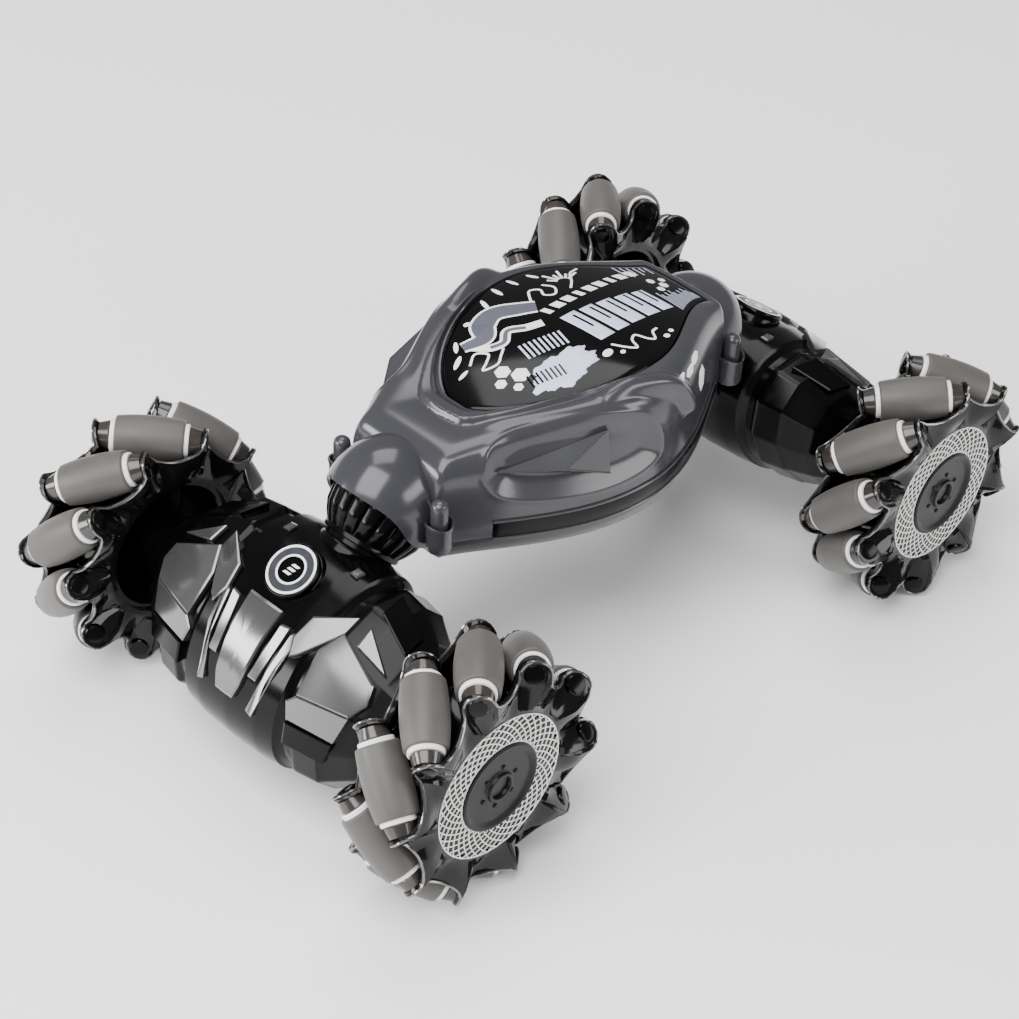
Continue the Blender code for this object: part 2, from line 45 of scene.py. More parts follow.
wheelSizes = {
    "radius": 43.0, "circle": 35.5, "count": 10,
    "x": 105.3, "y": 75.6,
    # first roller's angle from the top in degrees, and the sign of the rollers' tilt
    "turns": {("front", "left"): (4.9, -1), ("front", "right"): (5.0, 1),
              ("rear", "left"): (-9.9, 1), ("rear", "right"): (2.1, -1)},
}
ballSizes = {"x": 69.0, "z": 79.3, "outer": (22.0, 19.2, 22.0), "inner": (20.4, 18.0, 20.4)}
ends = {"front": 1, "rear": -1}
sides = {"left": 1, "right": -1}


# Tools that make surfaces.

def gridPart(points, material, closeRows=False, closeColumns=False, caps=(False, False), smooth=True):
    # A grid of points (rows, columns, 3) becomes quads; a capped end row becomes one flat face.
    rows, columns = points.shape[:2]
    index = np.arange(rows * columns).reshape(rows, columns)
    firstRow, lastRow = index[0], index[-1]
    if closeColumns:
        index = np.hstack([index, index[:, :1]])
    if closeRows:
        index = np.vstack([index, index[:1]])
    quads = np.stack([index[:-1, :-1], index[:-1, 1:], index[1:, 1:], index[1:, :-1]], -1).reshape(-1, 4)
    flat = points.reshape(-1, 3)
    a, b, c, d = (flat[quads[:, i]] for i in range(4))
    outwards = (np.cross(c - a, d - b) * ((a + b + c + d) / 4 - flat.mean(0))).sum()
    lids = ([firstRow[::-1]] if caps[0] else []) + ([lastRow] if caps[1] else [])
    if outwards < 0:
        quads, lids = quads[:, ::-1], [lid[::-1] for lid in lids]
    return {"points": flat, "quads": quads, "lids": lids, "material": material, "smooth": smooth}


def turnedPart(profile, material, place, columns=48, smooth=True, caps=(True, True), loop=False):
    # A profile of (height, radius) pairs turned about the place's own z axis; a looped one is a closed ring.
    profile = np.asarray(profile, float)
    angles = np.linspace(0, math.tau, columns, endpoint=False)
    radius = np.repeat(profile[:, 1:2], columns, 1)
    height = np.repeat(profile[:, :1], columns, 1)
    local = np.stack([radius * np.cos(angles), radius * np.sin(angles), height], -1)
    caps = (False, False) if loop else caps
    return gridPart(placed(local, place), material, closeRows=loop, closeColumns=True, caps=caps,
                    smooth=smooth)


def placed(local, place):
    # Local points carried to the car: origin + x, y and z along the place's three axes.
    origin, axes = place
    return np.asarray(origin) + local @ np.asarray(axes)


def axisPlace(origin, up, forward=(1.0, 0.0, 0.0)):
    # A place whose z axis is up and whose x axis is as near forward as it can be.
    zAxis = np.asarray(up, float) / np.linalg.norm(up)
    yAxis = np.cross(zAxis, forward)
    yAxis /= np.linalg.norm(yAxis)
    return np.asarray(origin, float), np.array([np.cross(yAxis, zAxis), yAxis, zAxis])


def tubePart(path, radius, material, columns=8, flatness=1.0, normals=None, closed=False):
    # A round or flattened section carried along a path; normals say which way its flat side faces.
    path = np.asarray(path, float)
    ahead = np.roll(path, -1, 0) - np.roll(path, 1, 0) if closed else np.gradient(path, axis=0)
    ahead /= np.linalg.norm(ahead, axis=1, keepdims=True)
    if normals is None:
        normals = np.broadcast_to(np.array([0.13, 0.29, 0.95]), path.shape)
    across = np.cross(normals, ahead)
    across /= np.linalg.norm(across, axis=1, keepdims=True)
    above = np.cross(ahead, across)
    angles = np.linspace(0, math.tau, columns, endpoint=False) + math.pi / columns
    radius = np.broadcast_to(radius, len(path))[:, None, None]
    c, s = np.cos(angles)[None, :, None], np.sin(angles)[None, :, None]
    points = path[:, None] + (across[:, None] * c + above[:, None] * s * flatness) * radius
    return gridPart(points, material, closeRows=closed, closeColumns=True, caps=(not closed, not closed))


def mirrored(parts, keep=(1, -1, 1)):
    # The parts' mirror images, with their faces turned back outwards.
    return [{**part, "points": part["points"] * np.array(keep), "quads": part["quads"][:, ::-1],
             "lids": [lid[::-1] for lid in part["lids"]]} for part in parts]


def resampled(outline, stepMm=1.0):
    # A closed outline with points added along its straight stretches.
    corners = np.asarray(outline, float)
    edge = []
    for a, b in zip(corners, np.roll(corners, -1, 0)):
        count = max(1, int(np.linalg.norm(b - a) / stepMm))
        edge.append(a + (b - a) * np.linspace(0, 1, count, endpoint=False)[:, None])
    return np.vstack(edge)


def padPart(surface, outline, lift, material, scale=(1.0, 1.0), bevel=0.4, sink=0.6, stepMm=1.0,
            smooth=True):
    # A raised plate that follows a surface: rings of its outline drawn in towards its middle, with a
    # bevelled rim.
    scale = np.asarray(scale, float)
    edge = resampled(np.asarray(outline, float) * scale, stepMm)
    middle = edge.mean(0)
    reach = np.linalg.norm(edge - middle, axis=1, keepdims=True)
    inner = np.clip(1 - bevel / reach, 0.3, 1)
    rings = [(1, -sink), (1, lift - bevel * 0.6), (inner, lift)]
    rings += [(inner * k, lift) for k in (0.75, 0.5, 0.25, 0.03)]
    rows = []
    for share, height in rings:
        flat = (middle + (edge - middle) * share) / scale
        rows.append(surface(flat[:, 0], flat[:, 1], height))
    return gridPart(np.stack(rows), material, closeColumns=True, caps=(True, True), smooth=smooth)


def facetPart(surface, corners, lift, material, bevel=0.6, sink=1.0):
    # A flat-faced raised facet: its corners stand off the surface and the face between them is straight.
    corners = np.asarray(corners, float)
    low = surface(corners[:, 0], corners[:, 1], -sink)
    rim = surface(corners[:, 0], corners[:, 1], np.asarray(lift) - bevel * 0.55)
    top = surface(corners[:, 0], corners[:, 1], lift)
    middle = top.mean(0)
    reach = np.linalg.norm(top - middle, axis=1, keepdims=True)
    face = middle + (top - middle) * np.clip(1 - bevel * 1.3 / reach, 0.5, 1)
    return gridPart(np.stack([low, rim, face]), material, closeColumns=True, caps=(True, True),
                    smooth=False)


def makePiece(name, parts, body, replaced=(), sharp=40.0):
    # One mesh object from its parts, placed in its mesh, riding on a CAD body.
    materials = list(dict.fromkeys(part["material"] for part in parts))
    faces, slots, smooths, first = [], [], [], 0
    for part in parts:
        own = (part["quads"] + first).tolist() + [(lid + first).tolist() for lid in part["lids"]]
        faces += own
        slots += [materials.index(part["material"])] * len(own)
        smooths += [part["smooth"]] * len(own)
        first += len(part["points"])
    mesh = bpy.data.meshes.new(name)
    mesh.from_pydata((np.vstack([part["points"] for part in parts]) * mm).tolist(), [], faces)
    for material in materials:
        mesh.materials.append(material)
    mesh.polygons.foreach_set("material_index", slots)
    mesh.polygons.foreach_set("use_smooth", smooths)
    mesh.set_sharp_from_angle(angle=math.radians(sharp))
    mesh.update()
    piece = bpy.data.objects.new(name, mesh)
    bpy.context.scene.collection.objects.link(piece)
    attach(piece, body)
    if replaced:
        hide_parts(*replaced)
    return piece


def smoothStep(value, low, high):
    # 0 below low, 1 above high, and an even S between them.
    share = np.clip((value - low) / (high - low), 0, 1)
    return share * share * (3 - 2 * share)


# Materials: each starts from the real one and how it was made.

def linear(code):
    # An sRGB hex colour as linear red, green, blue and alpha.
    channels = [int(code[i:i + 2], 16) / 255 for i in (1, 3, 5)]
    return (*[c / 12.92 if c <= 0.04045 else ((c + 0.055) / 1.055) ** 2.4 for c in channels], 1.0)


def addNode(tree, kind, settings, links=()):
    # Adds one node, sets its fields or input values, and links its inputs.
    node = tree.nodes.new("ShaderNode" + kind)
    for key, value in settings.items():
        if isinstance(key, int) or key in node.inputs:
            node.inputs[key].default_value = value
        else:
            setattr(node, key, value)
    for socket, source in dict(links).items():
        tree.links.new(source, node.inputs[socket])
    return node


def newMaterial(name, settings):
    # A material with a Principled shader whose constant inputs are set on its own sockets.
    made = bpy.data.materials.new(name)
    made.use_nodes = True
    tree = made.node_tree
    shader = tree.nodes["Principled BSDF"]
    for key, value in settings.items():
        shader.inputs[key].default_value = value
    return made, tree, shader


def mottled(name, settings, colours, patchMm, roughness, bumpMm=None, bumpDepthMm=0.01, bumpStrength=0.3):
    # A moulded surface: two near colours in soft patches, roughness that follows them, and a fine skin.
    made, tree, shader = newMaterial(name, settings)
    place = addNode(tree, "TexCoord", {})
    patches = addNode(tree, "TexNoise", {"Scale": 1000 / patchMm, "Detail": 3.0, "Roughness": 0.55},
                      {"Vector": place.outputs["Object"]})
    mix = addNode(tree, "Mix", {"data_type": "RGBA", 6: linear(colours[0]), 7: linear(colours[1])},
                  {0: patches.outputs["Fac"]})
    spread = addNode(tree, "MapRange", {"From Min": 0.3, "From Max": 0.7, "To Min": roughness[0],
                                        "To Max": roughness[1]},
                     {"Value": patches.outputs["Fac"]})
    tree.links.new(mix.outputs[2], shader.inputs["Base Color"])
    tree.links.new(spread.outputs["Result"], shader.inputs["Roughness"])
    if bumpMm:
        skin = addNode(tree, "TexNoise", {"Scale": 1000 / bumpMm, "Detail": 2.0},
                       {"Vector": place.outputs["Object"]})
        bump = addNode(tree, "Bump", {"Strength": bumpStrength, "Distance": bumpDepthMm * mm},
                       {"Height": skin.outputs["Fac"]})
        tree.links.new(bump.outputs["Normal"], shader.inputs["Normal"])
    return made


# moulded gloss ABS in mid grey: a soft, slightly uneven shine with the faint orange peel of a polished mould
greyAbs = mottled("mouldedGreyAbs", {"IOR": 1.5}, ("#323236", "#38383c"), 22.0, (0.16, 0.22), 1.4, 0.005)
# moulded gloss ABS in black: the shapes are read from their highlights alone
blackAbs = mottled("mouldedBlackAbs", {"IOR": 1.5, "Specular IOR Level": 0.16}, ("#030304", "#060607"),
                    15.0, (0.12, 0.2), 1.2, 0.004)
# black ABS facets with a painted sheen: their grey base colour paints the silver flash of the lamps on the
# glossy black, and a clear coat in the shader sharpens the real reflection
blackAbsPaintedSheen = mottled("blackAbsWithPaintedSheen", {"IOR": 1.5, "Coat Weight": 1.0, "Coat Roughness": 0.16,
                                            "Coat IOR": 1.9},
                    ("#2f2e2f", "#373637"), 30.0, (0.17, 0.2), 1.2, 0.003)
# polished lid panel in black acrylic: deeper and cleaner than the housings
lidAcrylic = mottled("polishedBlackAcrylic", {"IOR": 1.5, "Specular IOR Level": 0.2},
                     ("#050404", "#080707"), 18.0, (0.08, 0.13), 1.0, 0.003)
# pad-printed inks: thin, even and less shiny than the acrylic, with worn specks
paleInk = mottled("padPrintedPaleInk", {"IOR": 1.5}, ("#b3bed8", "#d5dcee"), 5.0, (0.35, 0.5), 0.5, 0.01)
whiteInk = mottled("padPrintedWhiteInk", {"IOR": 1.5}, ("#e6e7ea", "#f6f6f7"), 2.2, (0.35, 0.5), 0.5, 0.01)
slateInk = mottled("padPrintedSlateInk", {"IOR": 1.5}, ("#202128", "#272831"), 2.6, (0.35, 0.5), 0.5, 0.01)
greyInk = mottled("padPrintedGreyInk", {"IOR": 1.5}, ("#4a4b56", "#535460"), 2.6, (0.35, 0.5), 0.5, 0.01)
# smoked polycarbonate: nearly black where it is thick, brownish and see-through in thin webs
smokedPc = mottled("smokedPolycarbonate", {"IOR": 1.5, "Transmission Weight": 0.1,
                                           "Specular IOR Level": 0.25},
                   ("#0b0a0a", "#11100f"), 9.0, (0.07, 0.12), 1.0, 0.004)
# turned bosses of the same smoked plastic, thin enough to look grey-brown
bossPc = mottled("smokedBoss", {"IOR": 1.58}, ("#25221f", "#393431"), 3.0, (0.14, 0.22), 0.8, 0.004)
# moulded thermoplastic rubber: warm grey, soft sheen and a fine grain
rollerRubber = mottled("mouldedRubber", {"IOR": 1.45, "Sheen Weight": 0.1, "Sheen Roughness": 0.5},
                       ("#474441", "#4f4c49"), 6.0, (0.42, 0.55), 0.35, 0.012, 0.5)
whiteNylon = mottled("mouldedNylon", {"IOR": 1.53}, ("#ececf0", "#f6f6f8"), 4.0, (0.3, 0.4), 0.6, 0.006)
# hot-stamped foil on the wheel's trim: bright silver with slight wear
stampedFoil = mottled("hotStampedFoil", {"Metallic": 0.35}, ("#d9d6d2", "#f2f0ee"), 1.6, (0.22, 0.4), 0.5,
                      0.006)
satinCap = mottled("satinBlackAbs", {"IOR": 1.5, "Specular IOR Level": 0.2}, ("#090a0d", "#0e0f12"), 5.0,
                   (0.3, 0.4), 0.6, 0.008)
blackStrip = mottled("blackStripAbs", {"IOR": 1.5, "Specular IOR Level": 0.2}, ("#030304", "#060606"), 9.0,
                     (0.25, 0.35), 0.9, 0.006)
zincSteel = mottled("zincPlatedSteel", {"Metallic": 1.0}, ("#a9abb0", "#c3c4c8"), 1.5, (0.25, 0.38), 0.4,
                    0.006)
steelCan = mottled("drawnSteelCan", {"Metallic": 1.0}, ("#9b9da1", "#b0b2b6"), 6.0, (0.28, 0.4), 0.5, 0.01)
shrinkWrap = mottled("shrinkFilm", {"IOR": 1.5}, ("#1f4fa0", "#2458ad"), 8.0, (0.25, 0.35), 0.8, 0.02)
solderMask = mottled("solderMask", {"IOR": 1.5}, ("#0d5a2a", "#116633"), 4.0, (0.35, 0.5), 0.5, 0.01)
gearNylon = mottled("naturalNylon", {"IOR": 1.53}, ("#d6d4cb", "#e2e0d8"), 7.0, (0.4, 0.5), 0.8, 0.01)
print("materials made:", len(bpy.data.materials))


# Wheels: a cage with ten free rollers, a trim ring and a hub cap.

rollerSizes = {"rubberHalf": 11.2, "edge": 0.7, "flangeEnd": 12.6, "flangeRadius": 5.6, "pinRadius": 1.5,
               "pinEnd": 15.2}
webSizes = {"offset": 16.7, "halfWidth": 4.9, "halfThick": 1.0, "inner": 23.6, "flat": 12.2, "tip": 4.7,
            "notch": 33.6,
            "ridge": 1.1}
coneProfile = [(12.75, 1.7), (12.8, 4.75), (13.1, 4.9), (16.4, 4.0)]
domeProfile = [(17.0, 3.4), (18.0, 3.2), (18.4, 2.8), (18.6, 1.9), (18.65, 0.3)]
faceSizes = {"ringInner": 15.3, "ringOuter": 24.8, "height": 13.3, "strands": 38, "lean": math.radians(33),
             "strandRadius": 0.25, "studCircle": 7.0, "studs": 6}


def rollerAxes(angle, hand):
    # Unit vectors of a roller at this angle from the wheel's top: outwards and along its axis.
    outward = np.array([-math.sin(angle), 0.0, math.cos(angle)])
    tangent = np.array([-math.cos(angle), 0.0, -math.sin(angle)])
    along = np.array([0.0, 1.0, 0.0]) * rootHalf + tangent * (hand * rootHalf)
    return outward, along


def barrelRadius(s):
    # The barrel's radius at s along its axis, which keeps the whole wheel's outline a true circle.
    return wheelSizes["radius"] - np.hypot(wheelSizes["circle"], s * rootHalf)


def rollerParts(centre, outward, along):
    # Rubber barrel with rounded ends, nylon flanges and a steel pin: profiles turned about its axis.
    place = axisPlace(centre, along, outward)
    half, edge = rollerSizes["rubberHalf"], rollerSizes["edge"]
    straight = np.linspace(-half + edge, half - edge, 13)
    turn = np.radians([0, 22, 45, 68, 90])
    endRadius = barrelRadius(half - edge)
    lip = [(half - edge + edge * math.sin(t), endRadius - edge + edge * math.cos(t)) for t in turn[1:]]
    side = [(s, barrelRadius(s)) for s in straight]
    rubber = [(-s, r) for s, r in [(half, 4.9), *lip[::-1]]] + side + [*lip, (half, 4.9)]
    flange = [(half - 0.4, 3.0), (half - 0.4, rollerSizes["flangeRadius"]),
              (rollerSizes["flangeEnd"] - 0.35, rollerSizes["flangeRadius"]),
              (rollerSizes["flangeEnd"], rollerSizes["flangeRadius"] - 0.35),
              (rollerSizes["flangeEnd"], 1.6)]
    parts = [turnedPart(rubber, rollerRubber, place, 32)]
    for way in (-1, 1):
        parts.append(turnedPart([(way * s, r) for s, r in flange], whiteNylon, place, 28))
        pin = [(way * s, rollerSizes["pinRadius"]) for s in (rollerSizes["flangeEnd"] - 0.5,
                                                             rollerSizes["pinEnd"])]
        parts.append(turnedPart(pin, zincSteel, place, 12))
    return parts


def webParts(centre, phase, hand, way):
    # The cage's side web: a ring whose height is a sawtooth round the wheel. Each tooth's short flank stands
    # square to one roller's axis and ends in a round lobe; the long flank climbs back to the next tooth.
    size = webSizes
    shift = size["offset"] * rootHalf
    lobeRadius = math.hypot(wheelSizes["circle"], shift)
    half = size["halfWidth"] * rootHalf
    period = math.tau / wheelSizes["count"] * lobeRadius
    flank = np.concatenate([half * np.array([-1, -0.93, -0.75, -0.5, -0.2, 0.2, 0.5, 0.75, 0.93]),
                            half + (period - 2 * half) * np.array([0, 0.1, 0.25, 0.42, 0.6, 0.8, 0.92])])
    q = np.tile(flank, wheelSizes["count"])
    turn = np.repeat(np.arange(wheelSizes["count"]) * period, len(flank)) + q
    lobeAngle = math.radians(phase) + way * hand * math.atan2(shift, wheelSizes["circle"])
    angles = lobeAngle + way * hand * turn / lobeRadius
    climb = np.clip((q - half) / (period - 2 * half), 0, 1)
    onLobe = q < half - 1e-6
    saw = np.where(onLobe, shift - q, shift - half + 2 * half * climb ** 0.6)
    lobeEdge = lobeRadius - 0.3 + np.sqrt(np.maximum(0.0, size["tip"] ** 2
                                                     - np.clip(np.abs(q) / rootHalf, 0, size["tip"]) ** 2))
    notch = lobeRadius - 0.3 + (size["notch"] - lobeRadius) * np.sin(math.pi * climb) ** 0.6
    edge = np.where(onLobe, lobeEdge, notch)
    share = np.array([0, 0.13, 0.17, 0.42, 0.62, 0.8, 0.95, 1])[:, None]
    radius = size["inner"] + (edge - size["inner"]) * share
    blend = smoothStep(radius, 25.0, 32.5)
    facet = onLobe * (np.abs(q) < half * 0.6) * ((share > 0.15) & (share < 0.9))
    crease = (climb > 0.2) * (climb < 0.5) * ((share > 0.3) & (share < 0.99))
    middle = size["flat"] + (saw - size["flat"]) * blend
    outer = middle + size["halfThick"] + size["ridge"] * facet - 0.9 * crease
    inner = middle - size["halfThick"] - 0.4 * crease
    radii = np.concatenate([radius, radius[-1:] + 0.35, radius[::-1]])
    heights = np.concatenate([outer, (outer[-1:] + inner[-1:]) / 2, inner[::-1]])
    y = np.array([0.0, 1.0, 0.0])
    out = np.stack([-np.sin(angles), np.zeros_like(angles), np.cos(angles)], -1)
    points = centre + radii[..., None] * out[None] + way * heights[..., None] * y
    # a rounded bead along the web's rim, which takes a bright line of light; its grey base colour paints part
    # of that line as a highlight
    bead = centre + (edge + 0.1)[:, None] * out + way * (outer[-1] - 0.25)[:, None] * y
    return [gridPart(points, smokedPc, closeRows=True, closeColumns=True, smooth=False),
            tubePart(bead, 0.42, blackAbsPaintedSheen, 6, closed=True, normals=np.broadcast_to(y, bead.shape))]


def wheelParts(end, side, phase, hand):
    # The cage: a cupped core, a hub sleeve, two rows of lobes with bosses, and the shaft.
    centre = np.array([end * wheelSizes["x"], side * wheelSizes["y"], wheelSizes["radius"]])
    flat = axisPlace(centre, (0, side, 0))
    core = [(8.5, 4.0), (8.5, 21.0), (7.9, 21.4), (-11.0, 21.4), (-11.6, 21.9), (-11.6, 24.6),
            (-11.0, 25.2), (-9.4, 25.2),
            (-8.8, 24.2), (8.8, 24.2), (9.4, 25.4), (11.2, 25.9), (12.0, 25.4), (12.7, 24.6), (12.7, 13.0)]
    shaft = [(45.0 - abs(centre[1]), 0.4), (45.0 - abs(centre[1]), 3.6), (45.5 - abs(centre[1]), 4.0),
             (9.0, 4.0)]
    parts = [turnedPart(core, smokedPc, flat, 96, caps=(False, True)),
             turnedPart(shaft, zincSteel, flat, 24)]
    parts.append(turnedPart([(-12.0, 4.0), (-12.0, 6.2), (-11.0, 6.8), (8.6, 7.6)], smokedPc, flat, 32,
                            caps=(False, False)))
    for way in (-1, 1):
        parts += webParts(centre, phase, hand, way)
    for k in range(wheelSizes["count"]):
        outward, along = rollerAxes(math.radians(phase + 360 * k / wheelSizes["count"]), hand)
        spot = centre + outward * wheelSizes["circle"]
        for way in (-1, 1):
            bossPlace = axisPlace(spot, along * way, outward)
            parts.append(turnedPart(coneProfile, bossPc, bossPlace, 24))
            parts.append(turnedPart(domeProfile, blackAbs, bossPlace, 24))
    return parts


def trimParts(end, side):
    # The face trim: a dished black ring under a diamond lattice of two families of leaning strands.
    centre = np.array([end * wheelSizes["x"], side * wheelSizes["y"], wheelSizes["radius"]])
    flat = axisPlace(centre, (0, side, 0))
    inner, outer, height = faceSizes["ringInner"], faceSizes["ringOuter"], faceSizes["height"]
    bed = [(height - 0.4, outer + 0.1), (height - 0.1, outer), (height - 0.1, inner - 2)]
    parts = [turnedPart(bed, blackStrip, flat, 96, caps=(True, True))]
    for radius, thick in ((inner + 0.15, 0.22), (outer - 0.15, 0.24)):
        angles = np.linspace(0, math.tau, 96, endpoint=False)
        ring = np.stack([radius * np.cos(angles), radius * np.sin(angles), np.full(96, height)], -1)
        parts.append(tubePart(placed(ring, flat), thick, stampedFoil, 6, 0.8,
                              np.broadcast_to(flat[1][2], (96, 3)), closed=True))
    share = np.linspace(0, 1, 9)
    for lean in (-1, 1):
        for k in range(faceSizes["strands"]):
            angle = math.tau * k / faceSizes["strands"] + lean * faceSizes["lean"] * share
            radius = inner + (outer - inner) * share
            strand = np.stack([radius * np.cos(angle), radius * np.sin(angle),
                               np.full(9, height + 0.03 * lean)], -1)
            parts.append(tubePart(placed(strand, flat), faceSizes["strandRadius"], stampedFoil, 4, 0.9,
                                  np.broadcast_to(flat[1][2], (9, 3))))
    return parts


def capParts(end, side):
    # The hub cap: a lipped dish with a centre recess, and small domed studs on a circle.
    centre = np.array([end * wheelSizes["x"], side * wheelSizes["y"], wheelSizes["radius"]])
    flat = axisPlace(centre, (0, side, 0))
    dish = [(12.6, 15.4), (13.9, 15.2), (14.3, 14.7), (14.3, 14.1), (13.7, 13.3), (13.2, 12.4),
            (13.0, 10.5), (13.1, 6.0),
            (13.5, 5.2), (14.2, 4.9), (14.4, 4.5), (14.3, 4.0), (13.6, 3.5), (12.3, 3.3), (12.2, 1.6),
            (12.7, 1.3),
            (12.8, 0.2)]
    parts = [turnedPart(dish, satinCap, flat, 72)]
    for k in range(faceSizes["studs"]):
        angle = math.tau * (k + 0.3) / faceSizes["studs"]
        spot = placed(np.array([[faceSizes["studCircle"] * math.cos(angle), faceSizes["studCircle"]
                                 * math.sin(angle), 13.0]]),
                      flat)[0]
        stud = [(-0.4, 0.9), (0.3, 0.85), (0.62, 0.6), (0.75, 0.2)]
        parts.append(turnedPart(stud, blackAbs, axisPlace(spot, (0, side, 0)), 12))
    return parts


for endName, end in ends.items():
    for sideName, side in sides.items():
        label = f"{endName}_{sideName}"
        phase, hand = wheelSizes["turns"][endName, sideName]
        wheelBody = f"{label}_wheel"
        makePiece(f"{label}_wheel_cage", wheelParts(end, side, phase, hand), wheelBody,
                  [f"{label}_cage"], 28.0)
        makePiece(f"{label}_wheel_trim", trimParts(end, side), wheelBody)
        makePiece(f"{label}_wheel_cap", capParts(end, side), wheelBody)
        centre = np.array([end * wheelSizes["x"], side * wheelSizes["y"], wheelSizes["radius"]])
        for k in range(wheelSizes["count"]):
            outward, along = rollerAxes(math.radians(phase + 360 * k / wheelSizes["count"]), hand)
            roller = f"{label}_roller_{k}"
            makePiece(f"{roller}_barrel", rollerParts(centre + outward * wheelSizes["circle"], outward,
                                                      along), roller,
                      [roller])
print("wheels made")


# Axle modules: the faceted housing, its emblem and the fluted bowl of the ball joint.

# distance from the middle, half size along the twist axis, and half size across it
housingStations = np.array([(0.0, 36.0, 25.2), (13.0, 35.6, 24.8), (20.6, 34.6, 24.0), (21.4, 33.4, 23.2),
                            (23.2, 32.0, 22.3),
                            (25.6, 32.2, 22.4), (27.2, 33.6, 23.0), (28.0, 33.8, 23.2), (37.0, 32.4, 21.6),
                            (38.2, 31.4, 21.0), (47.0, 25.4, 18.4), (48.6, 23.6, 17.6), (55.0, 17.0, 14.6),
                            (56.4, 15.4, 13.4), (56.5, 5.4, 5.4)])
housingPolygon = {"corners": 12, "turn": 15.0, "start": 21.0, "full": 28.0}


def twistPlace(end, origin):
    # The frame of a twist axis: z runs from the ball's centre down to the axle, x is the way that faces out.
    return axisPlace(origin, (end * rootHalf, 0.0, -rootHalf))


axleOrigin = np.array([wheelSizes["x"], 0.0, wheelSizes["radius"]])
axlePlace = twistPlace(1, axleOrigin)


def housingPoint(y, degrees, lift=0.0):
    # A point of the front housing: an ellipse across the axle, a little faceted away from the middle.
    # degrees run from the face that looks forwards and up (0) round to the end of the twist axis (90).
    y, turn = np.broadcast_arrays(np.asarray(y, float), np.radians(np.asarray(degrees, float)))
    along = np.interp(np.abs(y), housingStations[:, 0], housingStations[:, 1])
    across = np.interp(np.abs(y), housingStations[:, 0], housingStations[:, 2])
    step = math.tau / housingPolygon["corners"]
    facet = np.cos(step / 2) / np.cos((turn + math.radians(housingPolygon["turn"])) % step - step / 2)
    facet = 1 + (facet - 1) * smoothStep(np.abs(y), housingPolygon["start"], housingPolygon["full"])
    c, s = np.cos(turn), np.sin(turn)
    outX, outZ = c / across, s / along
    size = np.hypot(outX, outZ)
    local = np.stack([across * c * facet + lift * outX / size, -y, along * s * facet + lift * outZ / size],
                     -1)
    return placed(local, axlePlace)


facets = {
    # corners as (distance from the middle, degrees), and how far they stand off the shell
    "innerRib": ([(9.6, -7), (13.1, -8), (10.9, 24), (7.4, 24)], 1.7),
    "longRib": ([(14.4, -6), (17.2, -9), (16.2, 12), (12.6, 44), (10.0, 42), (12.8, 18)], 1.5),
    "chevron": ([(17, -19), (28.5, -34), (28.5, -21), (20, 1), (17.8, 4), (15.5, -5)], 1.9),
    "plateTop": ([(24.5, -8), (28.5, -22), (46.0, -10), (47.5, 3), (44.5, 15), (25.5, 19)],
                 [2.4, 2.4, 2.6, 2.8, 2.6, 2.4]),
    "plateFold": ([(25.5, 19.6), (44.5, 15.8), (42, 36), (24.5, 36), (22.6, 25)],
                  [2.4, 2.6, 1.9, 1.9, 1.9]),
    "plateSide": ([(24.6, 36.8), (42.2, 36.8), (40.5, 52), (24.8, 52)], 2.6),
    "triangle": ([(33.5, -34), (46.5, -20), (34.0, -21)], 1.7),
    "outerTop": ([(31, -66), (45, -62), (46.5, -40), (33, -44)], 2.0),
    "tab": ([(14, -58), (17, -58), (17, -51), (14, -51)], 1.1),
}
darkFacets = ["plateSide", "outerTop"]  # these stay plain black, without the painted sheen
columnOutline = [(-7.2, -12), (7.2, -12), (6.6, 14), (5.4, 32), (3.8, 40.5), (-3.8, 40.5), (-5.4, 32),
                 (-6.6, 14)]
badge = {"place": (108.4, 0.0, 73.4), "lean": (0.5, 0.0, 0.866), "radius": 9.2}


def ringPart(place, inner, outer, height, thick, material, columns=64):
    # A flat ring: a small closed rectangle turned about the place's axis.
    profile = [(height, inner), (height + thick, inner), (height + thick, outer), (height, outer)]
    return turnedPart(profile, material, place, columns, loop=True)


def badgeParts():
    # A round boss on the housing with a printed sign: two white rings round a slate band, and three slanted
    # bars.
    place = axisPlace(badge["place"], badge["lean"], (0, 1, 0))
    r = badge["radius"]
    boss = [(-9.0, r + 1.2), (-3.2, r + 0.6), (-2.4, r + 0.2), (-2.2, r - 0.4), (-1.7, r - 0.4),
            (-1.5, r + 0.1), (-0.5, r + 0.1),
            (-0.15, r - 0.1), (0.0, r - 0.4)]
    parts = [turnedPart(boss, blackAbs, place, 72, caps=(True, True))]
    parts.append(ringPart(place, r - 1.55, r - 0.75, 0.0, 0.07, whiteInk))
    parts.append(ringPart(place, r - 4.0, r - 1.55, 0.0, 0.05, slateInk))
    parts.append(ringPart(place, r - 4.7, r - 4.0, 0.0, 0.07, whiteInk))

    def face(u, v, lift):  # a point of the boss's flat face
        return placed(np.stack([u, v, np.broadcast_to(lift, np.shape(u))], -1), place)
    for k in (-1, 0, 1):
        bar = np.array([(-1.0, -0.42), (1.0, -0.42), (1.5, 0.42), (-0.5, 0.42)]) * (1.35, 1.0)
        parts.append(padPart(face, bar + (k * 0.55 - 0.2, k * 1.55), 0.07, whiteInk, bevel=0.03, sink=0.02,
                             stepMm=3))
    return parts


